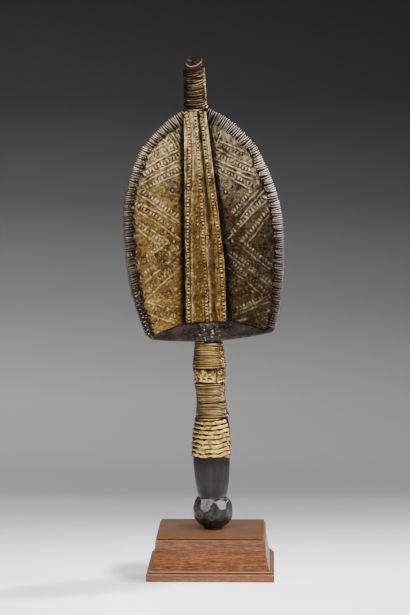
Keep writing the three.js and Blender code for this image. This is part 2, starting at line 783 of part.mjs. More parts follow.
// Wire wound round the shaft or neck between two heights, as a sleeve with one groove for each turn.
function neckWire(foot, head, turns) {
  const steps = 2 * turns;
  const station = (t, rise) => {
    const h = lerp(foot, head, t);
    return [woodRadius(h) + GAP + rise, h];
  };
  const inside = [0, 0.5, 1].map((t) => station(t, 0));
  const outside = [];
  for (let i = 0; i <= steps; i++) outside.push(station(i / steps, i % 2 ? WIRE : WIRE * 0.5));
  return turnedRing(inside, outside);
}

// The plain collar, with a thicker lip along its foot
function neckCollar() {
  const radiusAt = (h, extra) => woodRadius(h) + GAP + extra;
  const lipTop = COLLAR_FOOT + COLLAR_LIP_WIDTH;
  const outside = [
    [radiusAt(COLLAR_FOOT, SHEET + COLLAR_LIP), COLLAR_FOOT],
    [radiusAt(lipTop, SHEET + COLLAR_LIP), lipTop],
    [radiusAt(lipTop, SHEET), lipTop + COLLAR_LIP],
    [radiusAt(COLLAR_HEAD, SHEET), COLLAR_HEAD],
  ];
  const heights = [COLLAR_FOOT, (COLLAR_FOOT + COLLAR_HEAD) / 2, COLLAR_HEAD];
  const inside = heights.map((h) => [radiusAt(h, 0), h]);
  return turnedRing(inside, outside);
}

// The ribbed sheet bent round the front of the shaft, open on the figure's left and back.
function shaftSheet() {
  const rows = 2 * SHAFT_SHEET_RIBS;
  const columns = 8;
  const at = (i, j, rise) => {
    const h = lerp(SHAFT_SHEET_FOOT, SHAFT_SHEET_HEAD, i / rows);
    const a = radians(lerp(SHAFT_SHEET_FROM, SHAFT_SHEET_TO, j / columns));
    const r = (woodRadius(h) + GAP + rise) / Math.cos(Math.PI / ROUND_SIDES);
    const lean = FOOT_SHIFT - h * Math.tan(radians(NECK_LEAN));
    return point(lean + r * Math.sin(a), -r * Math.cos(a), h);
  };
  return slab(
    rows,
    columns,
    (i, j) => at(i, j, SHEET + (i % 2 ? SHAFT_RIB_RISE : 0)),
    (i, j) => at(i, j, 0),
  );
}

// Wire wound round the knob
function knobWire() {
  const steps = 2 * KNOB_TURNS;
  const ringAt = (i, rise) => {
    const along = lerp(KNOB_WIRE_FROM, KNOB_LENGTH - KNOB_BARE_END, i / steps);
    return knobRing(along, knobRadius(along) + GAP + rise);
  };
  const turns = Array.from({ length: steps + 1 }, (_, i) => ringAt(i, i % 2 ? WIRE : WIRE * 0.5));
  const outer = loft(turns);
  const bore = loft([-1, steps / 3, (2 * steps) / 3, steps + 1].map((i) => ringAt(i, 0)));
  return geometryOf(solid(outer).subtract(solid(bore)));
}

// A nail at a point of the figure, driven along a direction: its own geometry and the hole it needs.
function nail(tip, direction) {
  const head = new THREE.CylinderGeometry(NAIL_HEAD_RADIUS, NAIL_HEAD_RADIUS * 0.55, NAIL_HEAD_HEIGHT, 6);
  head.translate(0, -NAIL_HEAD_HEIGHT / 2, 0);
  const shank = (radius, length) =>
    new THREE.CylinderGeometry(radius, radius, length, 4).translate(0, length / 2 - 0.2, 0);
  const placed = new THREE.Matrix4()
    .makeTranslation(tip.x, tip.y, tip.z)
    .multiply(
      new THREE.Matrix4().makeRotationFromQuaternion(
        new THREE.Quaternion().setFromUnitVectors(point(0, 1, 0), direction),
      ),
    );
  return {
    geometry: united([head, shank(NAIL_SHANK_RADIUS, NAIL_SHANK_LENGTH)]).applyMatrix4(placed),
    hole: solid(shank(NAIL_SHANK_RADIUS + GAP, NAIL_SHANK_LENGTH + 1).applyMatrix4(placed)),
  };
}

// Nails in the band, in the head's frame, as [name, x, height]
const BAND_NAILS = [
  ["band_nail_left", -6.4, 100.5],
  ["band_nail_right", 2.9, 99.7],
  ["top_nail_left", -11.2, BAND_HEAD - 4],
  ["top_nail_right", 3.6, BAND_HEAD - 4],
];
// Nails at the lower corners of the shaft sheet, as [name, angle round the shaft]
const SHAFT_NAILS = [
  ["shaft_nail_left", -62],
  ["shaft_nail_right", 50],
];
const SHAFT_NAIL_HEIGHT = SHAFT_SHEET_FOOT + 3.4;

function bandNail(x, h) {
  const face = barFront(h) - GAP - SHEET - bandRise(x, h) - BAND_RIDGE_RISE / 2 - GAP;
  const slope = (barFront(h + 1) - barFront(h - 1)) / 2;
  return nail(point(x, face, h), point(0, 1, -slope).normalize());
}

function shaftNail(angle) {
  const a = radians(angle);
  const out = point(Math.sin(a), -Math.cos(a), 0);
  const h = SHAFT_NAIL_HEIGHT;
  const r = woodRadius(h) + 2 * GAP + SHEET + SHAFT_RIB_RISE;
  const tip = out.clone().multiplyScalar(r);
  tip.x += FOOT_SHIFT - h * Math.tan(radians(NECK_LEAN));
  tip.z = h;
  return nail(tip, out.negate());
}

function standBlock() {
  const half = STAND_WIDTH / 2;
  const slopeFoot = PLINTH_HEIGHT + BEAD_HEIGHT;
  const stepFoot = STAND_HEIGHT - TOP_STEP_HEIGHT;
  const outline = [
    [0, 0],
    [half, 0],
    [half, PLINTH_HEIGHT - PLINTH_ARRIS],
    [half - PLINTH_ARRIS, PLINTH_HEIGHT],
    [half - BEAD_INSET, PLINTH_HEIGHT],
    [half - BEAD_INSET, slopeFoot],
    [half - SLOPE_FOOT_INSET, slopeFoot],
    [half - SLOPE_TOP_INSET, stepFoot],
    [half - SLOPE_TOP_INSET - TOP_STEP_INSET, stepFoot],
    [half - SLOPE_TOP_INSET - TOP_STEP_INSET, STAND_HEIGHT],
    [0, STAND_HEIGHT],
  ];
  const points = outline.map(([x, y]) => new THREE.Vector2(x * Math.SQRT2, y));
  return new THREE.LatheGeometry(points, 4, Math.PI / 4).applyMatrix4(upright);
}

const darkWood = new THREE.MeshStandardMaterial({ color: 0x2b2523, roughness: 0.45 });
const standWood = new THREE.MeshStandardMaterial({ color: 0x8a5233, roughness: 0.55 });
const oldBrass = new THREE.MeshStandardMaterial({ color: 0x9a7a45, roughness: 0.4, metalness: 1 });
const brightBrass = new THREE.MeshStandardMaterial({ color: 0xc9a860, roughness: 0.35, metalness: 1 });
const wireBrass = new THREE.MeshStandardMaterial({ color: 0x8d7650, roughness: 0.4, metalness: 1 });

const figure = new THREE.Group();
figure.position.z = STAND_HEIGHT + GAP;
const head = new THREE.Group();
head.applyMatrix4(headFrame);
figure.add(head);

function add(parent, name, geometry, material) {
  const mesh = new THREE.Mesh(geometry, material);
  mesh.name = name;
  parent.add(mesh);
}

const bandNails = BAND_NAILS.map(([name, x, h]) => [name, bandNail(x, h)]);
const shaftNails = SHAFT_NAILS.map(([name, angle]) => [name, shaftNail(angle)]);
const headTransform = headFrame.toArray();
const drilled = (geometry, nails) =>
  geometryOf(nails.reduce((all, [, n]) => all.subtract(n.hole), solid(geometry)));

add(
  figure,
  "carved_figure",
  carvedFigure([
    ...bandNails.map(([, n]) => n.hole.transform(headTransform)),
    ...shaftNails.map(([, n]) => n.hole),
  ]),
  darkWood,
);
add(head, "left_cheek_sheet", cheekSheet(-1, LEFT_RIBS, LEFT_BOSSES), oldBrass);
add(head, "right_cheek_sheet", cheekSheet(1, RIGHT_RIBS, RIGHT_BOSSES), oldBrass);
add(head, "centre_band", drilled(bandSheet(), bandNails), oldBrass);
add(head, "left_rim_wire", rimStitches(-1), wireBrass);
add(head, "right_rim_wire", rimStitches(1), wireBrass);
add(head, "knob_wire", knobWire(), wireBrass);
add(figure, "neck_wire_upper", neckWire(UPPER_WIRE_FOOT, UPPER_WIRE_HEAD, UPPER_WIRE_TURNS), wireBrass);
add(figure, "neck_collar", neckCollar(), brightBrass);
add(figure, "neck_wire_lower", neckWire(LOWER_WIRE_FOOT, LOWER_WIRE_HEAD, LOWER_WIRE_TURNS), wireBrass);
add(figure, "shaft_sheet", drilled(shaftSheet(), shaftNails), brightBrass);
for (const [name, n] of bandNails) add(head, name, n.geometry, wireBrass);
for (const [name, n] of shaftNails) add(figure, name, n.geometry, wireBrass);

const part = new THREE.Group();
part.add(figure);
add(part, "stand", standBlock(), standWood);

export default part;
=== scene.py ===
"""A Central African reliquary guardian figure on its wooden stand, in a plain studio.

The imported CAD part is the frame, and every piece here stands for one of its nodes: the carved wood, two
embossed cheek sheets and a beaded band of brass, wire stitched round both halves of the rim, wires wound
round the knob and neck, a collar, a ribbed sheet, six nails and the stand.
Lengths are in millimetres and turn into metres when a mesh is made. x runs to the right of the picture,
y away from it and z up. On the figure a height h is counted from its foot, and on the head from the neck's
top, in a frame that leans a little to the left.
"""

import math

import bpy
import numpy as np
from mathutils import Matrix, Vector


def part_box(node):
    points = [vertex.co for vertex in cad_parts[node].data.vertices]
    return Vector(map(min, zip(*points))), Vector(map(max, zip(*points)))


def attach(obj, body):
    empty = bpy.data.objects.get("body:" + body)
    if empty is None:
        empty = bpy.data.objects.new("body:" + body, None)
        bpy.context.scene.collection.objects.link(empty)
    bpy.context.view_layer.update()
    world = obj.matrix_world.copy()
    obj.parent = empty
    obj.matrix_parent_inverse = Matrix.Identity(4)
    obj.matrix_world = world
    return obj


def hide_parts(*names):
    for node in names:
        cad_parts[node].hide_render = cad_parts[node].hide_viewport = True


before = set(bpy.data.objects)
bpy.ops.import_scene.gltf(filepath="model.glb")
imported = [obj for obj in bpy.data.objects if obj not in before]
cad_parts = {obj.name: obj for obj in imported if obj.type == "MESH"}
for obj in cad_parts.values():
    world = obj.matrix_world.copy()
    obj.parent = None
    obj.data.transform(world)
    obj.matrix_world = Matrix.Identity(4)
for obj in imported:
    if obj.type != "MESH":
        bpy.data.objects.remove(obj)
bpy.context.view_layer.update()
MM = 0.001
FIGURE_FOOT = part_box("carved_figure")[0].z / MM
STAND_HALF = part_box("stand")[1].x / MM
STAND_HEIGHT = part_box("stand")[1].z / MM

# Clearance and thickness of the sheets
GAP = 0.3
SHEET = 0.9

# Shaft and neck
FOOT_SHIFT = 1.7
NECK_LEAN = 1.44
NECK_TOP = 178.2
NECK_TOP_RADIUS = 11.9
WOOD_STATIONS = [
    (28, 12.6), (36, 14.5), (44, 16), (52, 16.9), (60, 17.5), (68, 17.5), (80, 17.2), (91, 16.7), (99, 15.9),
    (107, 14.6), (114, 13.3), (122, 12.6), (128, 12.2), (136, 12.9), (145, 13.8), (155, 14.1), (164, 13.4),
    (172, 12.4), (178.2, 11.9),
]
AXIS_BOW = [
    (0, 0), (15, -0.1), (30, -0.1), (45, -0.1), (57, -0.2), (65, -0.2), (72, 0.4), (80, 0.9), (90, 1.4),
    (100, 1.8), (107, 1.8), (114, 1.3), (122, 1), (129, 0.4), (138, 0.15), (150, 0), (165, 0), (180, 0),
    (195, 0),
]
BULB_STATIONS = [
    (0, 9.0), (1.6, 9.0), (2.2, 10.5), (5.5, 14.6), (10, 17.7), (15, 19.1), (20.5, 18.7), (26, 17.1),
    (29.5, 14.8), (31.5, 12.6),
]
# Flats cut on the bulb, as (angle, upward tilt, height of the middle, share of the radius there). Those at
# the front differ in depth, and the others are all cut to one share.
FRONT_FLATS = [(-21, 25, 18, 0.993), (4, 12, 22.5, 0.952), (26, 22, 22, 0.98)]
OTHER_FLATS = [
    (-46, 22, 21), (72, 14, 22), (112, 20, 22), (150, 16, 23), (-172, 20, 21), (-132, 16, 23),
    (-98, 20, 22), (-62, 12, 23), (-43, -3, 13), (-8, -6, 13.5), (27, -4, 14), (60, -8, 12), (95, -4, 14),
    (135, -8, 12), (172, -5, 14), (-150, -8, 12), (-115, -4, 14), (-78, -8, 12.5), (-28, -38, 6.5),
    (12, -42, 6), (50, -36, 7), (100, -40, 6.5), (150, -38, 6.5), (-160, -40, 6), (-110, -38, 6.5),
    (-68, -40, 7), (-25, 48, 27.6), (14, 46, 28.4), (52, 48, 27.8), (-70, 46, 28), (95, 46, 28),
    (140, 48, 28), (-170, 46, 28), (-120, 48, 28),
]
FLAT_SHARE = 0.972
RIBBED_FROM = 69.5
RIBBED_HEAD = 107.2
RIBS = 8.5
RIBBED_LEFT = -118
RIBBED_RIGHT = [(0, 64), (0.45, 70), (0.8, 60), (1, 50)]
# Radii that turn an angle into a way round the ribbed sheet and the collar
RIBBED_RADIUS = 17
COLLAR_RADIUS = 15
# Heights of the middles of each winding's first and last turns, and of the collar's edges
LOWER_WIRE = (108.3, 139.4)
COLLAR = (140.7, 153.9)
UPPER_WIRE = (155.2, 179.1)
# The collar's crack with its hooked end, and the dark dashes and scars of its two worn rows, as
# (from across, from height, to across, to height, half width)
COLLAR_MARKS = [
    (7.0, 140.9, 7.4, 151.2, 0.75), (7.4, 151.2, 5.4, 152.2, 0.6), (5.4, 152.2, 4.6, 150.4, 0.6),
    (-14.0, 145.2, -10.2, 144.8, 1.0), (-6.8, 144.6, -4.0, 144.2, 1.0), (-1.8, 145.3, 1.9, 144.5, 1.3),
    (9.4, 143.6, 12.4, 144.2, 0.8), (-13.8, 152.4, -9.8, 152.5, 0.8), (-4.2, 152.7, 4.4, 152.5, 1.0),
    (-1.2, 149.6, 1.8, 150.2, 0.8), (-1.0, 148.2, 0.6, 147.4, 0.6), (10.6, 150.0, 12.6, 150.4, 0.6),
]

# Head, in its own leaning frame
HEAD_LEAN = 2.4
HEAD_HEIGHT = 221
LEFT = dict(side=-1, half=74.4, widest=113, cheek=0.305, cheek_power=1.85, shoulder_power=2.1,
            shoulder_round=0.59, corner_rise=3.2,
            trim=[(0, 1.8), (14, 2.2), (37, 2.8), (52, 2.9), (67, 2.2), (82, 1.4), (98, 0.2), (115, 0),
                  (144, -0.4), (174, -0.9), (188, -0.3), (203, -1.9), (212, -2.6), (223, -3.2)])
RIGHT = dict(side=1, half=75.3, widest=95, cheek=0.192, cheek_power=1.4, shoulder_power=1.85,
             shoulder_round=0.625, corner_rise=5.6,
             trim=[(0, 0), (17, -0.3), (32, 0.9), (47, 0.3), (62, 0), (78, -0.8), (94, -1.4), (109, -0.9),
                   (125, -0.3), (154, 0.4), (170, 1.8), (185, 3.0), (200, 1.4), (208, 1.2), (216, -1),
                   (223, -1)])
CHIN_HEIGHT = 2.2
CORNER_ROUND = 4.8
CHIN_LIP = 0.8
RIM_THICKNESS = 8
RIM_ROUND = 2.4
# Depth of the hollow at the chin and at the knob, and how its valley is curved
HOLLOW = (24, 10)
VALLEY_POWER = 1.15
SILL_SLOPE = 1.05
BAND_FOOT = 19.5
BAND_HEAD = 219
BAR_INSET = 0.8
SHEET_HEAD = 206
ROOT_BACK = 8
# Every how many rows and columns of a sheet's face have a point on its back, and the rows and columns of
# each face, one more than a multiple of that
BACK_STEP = 8
CHEEK_GRID = (513, 153)
BAND_GRID = (641, 121)
# The neck's root, as (height as a share of the bar's foot, half width and front as shares of the neck's
# radius), and the knife's strokes on it, as (x, height) at each end
ROOT_STATIONS = [(-0.15, 0.85, -0.85), (0.03, 1, -1), (0.25, 1, -1), (0.62, 1, -0.72), (0.97, 1, -0.2)]
ROOT_STROKES = [
    (-6, 15, 3, 9.5), (-3, 9, 6, 15.5), (-9.5, 14, -8, 4), (9.5, 14, 8, 5), (-2, 5, 3, 3), (-6.5, 9, -5, 2),
    (5.5, 9, 6.5, 2), (-1, 18, 2, 13), (1, 8, -2.5, 1.5),
]

# Knob
KNOB_X = -2.1
# The knob's wood starts below the head's top, inside the board
KNOB_FOOT = -14
KNOB_LENGTH = 48.6
KNOB_RADII = [(KNOB_FOOT, 9.6), (0, 9.6), (9, 8.9), (24, 8.5), (50, 8.2)]
KNOB_ARRIS = 1.3
KNOB_LEANS = (17, 19)
KNOB_WIRE = (1.6, 38.8)
KNOB_CUT = 27
KNOB_SIDE_CUT = 9
KNOB_WIRE_TILT = 1.3

# Wire stitched round the rim, through the wood and the sheets' edges
STITCH_LAP = 0.9
STITCH_BACK_LEG = 6.4
STITCH_RADIUS = 0.45
STITCH_HEAD = {-1: 218.8, 1: 220.4}
STITCH_PITCH = {-1: 2.05, 1: 2.1}
STITCH_SEED = 91
# How dark the stitches of the left and right rims are painted at each of these heights, as painted shade
SHADE_HEIGHTS = [0, 60, 95, 135, 175, 200, 215]
STITCH_SHADE = {-1: [0.1, 0.45, 0.55, 0.5, 0, 0, 0.2], 1: [0.7, 0.7, 0.5, 0, 0, 0.2, 0.5]}

# Embossed lines of the cheeks as (x, height) at each end. A bead row also gives the beads' half length
# across the row.
LEFT_RIDGES = [
    (-19, 184.4, -51, 168.9), (-15.9, 176.6, -53.4, 157.9), (-16.2, 171.8, -60.5, 151.4),
    (-16.5, 162.6, -60.1, 146.2), (-26.5, 200.6, -18.8, 188.2), (-35.4, 195.6, -29.4, 189.6),
    (-22.5, 203.8, -18, 195.9), (-32.9, 188.5, -42.5, 184.7), (-37, 185.2, -47, 179.4),
    (-29.4, 199.4, -22.6, 187.6), (-44.6, 187.2, -40.2, 181.6), (-60.6, 144.6, -20.4, 113),
    (-57.2, 134.3, -26.6, 115.2), (-66.5, 132.7, -22.5, 98.6), (-66.9, 122.6, -34.6, 97.6),
    (-66.3, 113.9, -44.4, 96.1), (-36.2, 95.2, -60.8, 78), (-19.5, 89.7, -58, 58.8),
    (-22.4, 73.3, -55.6, 44.7), (-58.2, 42.8, -26.9, 28.1), (-58.8, 30.9, -30.9, 19.5),
]
LEFT_BEADS = [
    (-23.2, 187.4, -44.3, 178.7, 1.3), (-33, 197.2, -26.5, 188.6, 1.2), (-19.7, 179.6, -52.8, 162.2, 1.9),
    (-19.3, 166.6, -53.8, 148.7, 1.6), (-54.8, 145.3, -24.9, 121.4, 1.6), (-64.8, 137, -29.3, 109, 1.2),
    (-62.9, 115.7, -39.5, 97.8, 1.2), (-42.5, 94.5, -64.5, 76.6, 1.2), (-25.3, 90.9, -64, 63.7, 1.8),
    (-24.8, 78.6, -55.3, 50.9, 1.6), (-54, 36.5, -31, 26, 1.2),
]
RIGHT_RIDGES = [
    (18.9, 189.6, 40.2, 180.5), (15.3, 183, 46.8, 165.8), (10.1, 174.1, 49.4, 157.1),
    (13.7, 167.7, 51.1, 152.2), (15.8, 161.3, 44.6, 144.8), (20.1, 196.2, 15.5, 188.7),
    (12, 198.5, 14.1, 189.8), (54.8, 144.4, 30.8, 120.7), (57.3, 142.7, 34.7, 116.5),
    (61.1, 134.4, 18.5, 94.5), (64.1, 121.4, 41, 93.6), (32.2, 91.4, 69, 60.4), (21.2, 82.9, 65, 48.7),
    (19.6, 70.6, 51.5, 44.6), (59.1, 41.7, 29.3, 29.5), (57.8, 36.6, 25.5, 25), (58.6, 28.9, 28.3, 18.7),
]
RIGHT_BEADS = [
    (22.5, 184.1, 40.5, 175.2, 1.1), (16.9, 176.7, 44.7, 162.1, 1.3), (19.7, 162.1, 49, 147.4, 1.2),
    (44.5, 141.7, 27.8, 122.4, 1.3), (58.1, 136, 26, 103.5, 2.1), (63.3, 127.1, 35.4, 94.9, 1.6),
    (37.9, 92.2, 69.3, 66.6, 1.2), (24.8, 84.8, 64.1, 52.4, 1.2), (25.9, 74, 54.2, 48.1, 1.2),
    (61.7, 44.2, 28.3, 32.1, 1.1),
]
LEFT_BOSSES = [(-28.2, 145.9, 1.0), (-29.1, 97.0, 1.0), (-29.3, 50.7, 0.5)]
RIGHT_BOSSES = [(21.6, 141.9, 1.0), (26.0, 95.1, 1.0), (27.8, 47.8, 0.6), (57.4, 99.3, 0.5)]
BEAD_PITCH = 3.2
# How each cheek is worn and painted: the painted shadow of the bar right beside the band and near it,
# how red it is there, and how pale it is at each height, paler towards the top partly as painted
# reflection
CHEEK_WEAR_AND_SHADE = {
    -1: dict(shadow_at_band=0.8, shadow_near_band=0.25, red_at_band=1, pale=([135, 185], [0, 1])),
    1: dict(shadow_at_band=0.7, shadow_near_band=0.1, red_at_band=0.5, pale=([120, 143, 180], [0, 0.33, 0.9])),
}
# The band's left, middle and right columns of pits, as (heights, x at each of them)
PIT_LINES = [
    ([20, 72, 110, 138, 154, 173, 201, 216], [-18, -16.7, -15.3, -13.6, -12, -10.3, -9.3, -10.6]),
    ([20, 45, 86, 108, 140, 181, 208], [-0.7, -0.6, -1.3, -0.9, -1.5, -1.7, -2.6]),
    ([20, 98, 128, 148, 176, 219], [15.9, 14, 10.7, 7.9, 5.4, 2.3]),
]
PIT_PITCH = 3.1

# Nails, as (piece, node, x, height), and round the shaft, at one height, as (piece, node, angle)
BAND_NAILS = [
    ("band_nail_a", "band_nail_left", -6.4, 100.5), ("band_nail_b", "band_nail_right", 2.9, 99.7),
    ("top_nail_a", "top_nail_left", -11.2, 215), ("top_nail_b", "top_nail_right", 3.6, 215),
]
SHAFT_NAILS = [("shaft_nail_a", "shaft_nail_left", -62), ("shaft_nail_b", "shaft_nail_right", 50)]
SHAFT_NAIL_HEIGHT = 72.9
NAIL_RADIUS = 1.7
NAIL_HEIGHT = 1.1

# Where the figure's wood changes its finish, as (from, to) heights in metres. The pale strokes at the neck's
# root, painted partly as fresh cuts and partly as glints, fade out upwards and away from a line a little
# left of the middle.
TO_BULB = (0.0745, 0.0705)
DARK_FROM_RIBS = (0.1005, 0.1055)
TO_HEAD = (0.14, 0.2)
ROOT_CUTS_UP_TO = (0.241, 0.232)
ROOT_CUTS_WITHIN = (0.0125, 0.007)
ROOT_CUTS_LEFT_BY = 0.0018
TO_KNOB_END = (0.462, 0.474)

# Painted falloff of the light: how the paper darkens with height, as (share of 600 mm, colour), and
# towards the back of the floor, as (share of 600 mm from 150 mm in front of the figure, colour)
WALL_TONES = [(0.0, "#ffffff"), (0.016, "#cbcbcb"), (0.07, "#d6d6d6"), (0.148, "#d7d7d7"), (0.33, "#a1a1a1"),
              (0.527, "#6e6e6e"), (0.74, "#4a4a4a"), (0.93, "#3e3e3e"), (1.0, "#3b3b3b")]
FLOOR_TONES = [(0.0, "#fbfbfb"), (0.25, "#f4f4f4"), (0.5, "#d8d8d8"), (0.75, "#b2b2b2"), (1.0, "#a0a0a0")]
PAPER_GLOW = (0.5, 2.4)
# The stand's and the figure's soft shadows on the paper, as ovals: middle, turn in degrees, half axes in
# metres and how much darker the paper is at the middle
SHADES = [((-0.07, -0.012), 12, (0.036, 0.062), 0.62), ((-0.115, -0.085), 25, (0.13, 0.045), 0.42)]
# Each lamp's place, what it points at, its width and height, its watts and its spread, in metres and degrees
LAMPS = {
    "key_right": ((1.18, -0.8, 1.07), (0, 0, 0.25), (0.8, 1.0), 20, 180),
    "edge_right": ((0.8, 0.62, 0.85), (0, 0, 0.46), (0.2, 0.5), 0.8, 24),
    "side_right": ((1.0, 0.2, 1.1), (0, 0, 0.1), (0.2, 0.25), 7, 180),
    "soft_left": ((-1.09, -0.63, 1.07), (0, 0, 0.25), (0.5, 0.65), 8, 180),
    "over_floor": ((0.15, -0.9, 1.25), (0.15, -0.75, 0), (1.4, 0.8), 29, 180),
}

# The picture's camera, turned in radians
CAMERA_AT = (55, -2288, 461)
CAMERA_YAW = -0.0268
CAMERA_PITCH = 0.0910
CAMERA_LENS = 141.95


def lerp(a, b, t):
    return a + (b - a) * t


def bell(away, half, power=2):
    """A bell curve: one where `away` is nothing, about a third at `half`, and flatter on top the higher its
    power is."""
    return np.exp(-((away / half) ** power))


def spline(stations, steps=16):
    """A smooth curve through (height, value) stations, as rows of points. On each span it is the cubic
    whose slope at a station is half the step between that station's neighbours."""
    p = np.array([stations[0], *stations, stations[-1]], float)
    t = np.linspace(0, 1, steps, endpoint=False)[:, None]
    spans = []
    for a, b, c, d in zip(p, p[1:], p[2:], p[3:]):
        start = (2 * t**3 - 3 * t**2 + 1) * b + (t**3 - 2 * t**2 + t) * (c - a) / 2
        end = (3 * t**2 - 2 * t**3) * c + (t**3 - t**2) * (d - b) / 2
        spans.append(start + end)
    return np.vstack([*spans, p[-1:]])


def ripples(across, up, length, seed, waves=14):
    """Smooth unevenness, mostly between -1 and 1: the sum of sine waves of about the given length, whose
    directions, lengths and phases come from the seed, over the root of half their number."""
    draw = np.random.default_rng(seed)
    total = 0
    for _ in range(waves):
        angle, stretch, phase = draw.uniform(0, np.pi), draw.uniform(0.7, 1.5), draw.uniform(0, 2 * np.pi)
        run = across * np.cos(angle) + up * np.sin(angle)
        total = total + np.sin(2 * np.pi * run / (length * stretch) + phase)
    return total / np.sqrt(waves / 2)


WOOD_CURVE = spline(WOOD_STATIONS)
BOW_CURVE = spline(AXIS_BOW)


def wood_radius(h):
    """Radius of the shaft and neck at a height, from the smooth curve through its stations."""
    return np.interp(h, WOOD_CURVE[:, 0], WOOD_CURVE[:, 1])


def on_shaft(radius, angle, h):
    """Points round the shaft: its axis leans to the left as it rises and bows a little to the right, and an
    angle in degrees is counted from the front towards the right."""
    radius, angle, h = np.broadcast_arrays(radius, np.radians(angle), h)
    axis_x = FOOT_SHIFT - h * math.tan(math.radians(NECK_LEAN)) + np.interp(h, *BOW_CURVE.T)
    x = axis_x + radius * np.sin(angle)
    return np.stack([x, -radius * np.cos(angle), FIGURE_FOOT + h], -1)


def on_head(x, y, h):
    """Points of the head's frame, which stands on the neck's top and leans to the left by HEAD_LEAN."""
    x, y, h = np.broadcast_arrays(x, y, h)
    c, s = math.cos(math.radians(HEAD_LEAN)), math.sin(math.radians(HEAD_LEAN))
    neck_x = FOOT_SHIFT - NECK_TOP * math.tan(math.radians(NECK_LEAN))
    return np.stack([neck_x + x * c - h * s, y, FIGURE_FOOT + NECK_TOP + x * s + h * c], -1)


def chin_height(outline, u):
    """Height of the chin's lower edge, which rises with the square of the share of the half width."""
    return CHIN_HEIGHT + outline["corner_rise"] * u * u


def half_width(outline, h):
    """Half the head's width at a height. Above the widest height it is a rounded power curve that closes at
    the knob. Below it narrows by a power of the distance down, less a quarter circle at the chin's corner.
    The carver's unevenness is added from the outline's own trim."""
    h = np.asarray(h, float)
    widest, half = outline["widest"], outline["half"]
    t = np.clip((h - widest) / (HEAD_HEIGHT + 2 - widest), 0, 1)
    above = half * (1 - t ** outline["shoulder_power"]) ** outline["shoulder_round"]
    t = np.clip((widest - h) / widest, 0, 1)
    corner = np.clip((chin_height(outline, 1) + CORNER_ROUND - h) / CORNER_ROUND, 0, 1)
    below = half * (1 - outline["cheek"] * t ** outline["cheek_power"])
    turned = np.where(h > widest, above, below - CORNER_ROUND * (1 - np.sqrt(1 - corner * corner)))
    return turned + np.interp(h, *np.array(outline["trim"]).T)


def slope_of(outline, h):
    """How much wider half the head becomes with each millimetre of height."""
    return half_width(outline, h + 0.5) - half_width(outline, h - 0.5)


def strip_at(h):
    """Width of the strip between the outline and a sheet's edge: narrow at the chin, wide at the top."""
    wide = np.interp(h, [0, 9, 40, 190, 212], [3.4, 4.4, 6.3, 6.6, 9.5])
    return wide + np.clip((h - 12) / 20, 0, 1) * (0.6 * np.sin(h / 7.7) + 0.45 * np.sin(h / 3.7 + 1))


def inset_half(outline, h, strip):
    """Half the width left at each height when a strip is taken off the outline: halving steps towards the
    x whose nearest point of the outline lies one strip's width away."""
    at = np.linspace(CHIN_HEIGHT, HEAD_HEIGHT, 301)
    edge = half_width(outline, at)
    low, high = np.zeros_like(h), half_width(outline, h)
    for _ in range(13):
        middle = (low + high) / 2
        nearest = np.hypot(edge[None] - middle[:, None], at[None] - h[:, None]).min(1)
        low, high = np.where(nearest >= strip, middle, low), np.where(nearest >= strip, high, middle)
    return low


def rim_front(h):
    """How far back the rim's front lies: a parabola of the height that brings both ends forward."""
    t = h / HEAD_HEIGHT
    return -15 + 22 * t - 38 * t * t


def deepest(h):
    """Depth of the hollow in its middle, which lessens upwards with the cube of the height."""
    return lerp(*HOLLOW, np.clip(h / HEAD_HEIGHT, 0, 1) ** 3)


def front_of(outline, x, h):
    """Front of the wood's hollow: the rim's bow, plus a valley that falls towards the middle as one less a
    power of the share of the half width, and no deeper than the sill that slopes up from the chin."""
    u = np.clip(np.abs(x) / half_width(outline, h), 0, 1)
    valley = deepest(h) * (1 - u**VALLEY_POWER)
    sill = np.maximum(0, (h - chin_height(outline, u) - CHIN_LIP) * SILL_SLOPE)
    return rim_front(h) + np.minimum(valley, sill)


def back_of(outline, x, h):
    """Back of the wood: the rim's thickness, plus a keel that rises towards the middle."""
    u = np.clip(np.abs(x) / half_width(outline, h), 0, 1)
    keel = (deepest(h) + 4) * lerp(0.55, 1, np.clip(h / 24, 0, 1))
    return rim_front(h) + RIM_THICKNESS + keel * (1 - u**1.3)


def band_edge(outline, h):
    """How far from the middle the band ends. Both edges come in with the height, the right one only from
    75 mm up."""
    if outline["side"] < 0:
        return np.interp(h, [0, 110, BAND_HEAD], [21.2, 18.0, 13.2])
    return lerp(18, 7.6, np.clip((h - 75) / 144, 0, 1))


def bar_front(h):
    """Front of the middle bar: it lies behind the rim at the chin, meets it at the knob, and comes forward
    with the cube of the height."""
    return rim_front(h) + lerp(14, 0, np.clip(h / HEAD_HEIGHT, 0, 1) ** 3)


def skin(rings, looped=False):
    """Faces over rings of points, shaped (rings, points, 3). Each ring closes on itself. The last ring
    joins the first if the skin is looped, and otherwise each end is closed by a strip of quads that joins
    the two halves of its ring."""
    count, size = rings.shape[:2]
    rows = np.arange(count if looped else count - 1)[:, None]
    here, there = rows * size, (rows + 1) % count * size
    k = np.arange(size)
    n = (k + 1) % size
    faces = [np.stack(np.broadcast_arrays(here + k, here + n, there + n, there + k), -1).reshape(-1, 4)]
    if not looped:
        k = np.arange(size // 2 - 1)
        cap = np.stack([k, size - 1 - k, size - 2 - k, k + 1], -1)
        faces += [cap, cap[:, ::-1] + (count - 1) * size]
    return rings.reshape(-1, 3), np.vstack(faces)


def slab(over, under):
    """A closed body between two grids of points of one layout."""
    return skin(np.concatenate([over, under[:, ::-1]], 1))


def outer_loop(numbers):
    """The numbers round the edge of a grid, in order."""
    return np.concatenate([numbers[0, :-1], numbers[:-1, -1], numbers[-1, :0:-1], numbers[:0:-1, 0]])


def quads(numbers):
    corners = [numbers[:-1, :-1], numbers[:-1, 1:], numbers[1:, 1:], numbers[1:, :-1]]
    return np.stack(corners, -1).reshape(-1, 4)


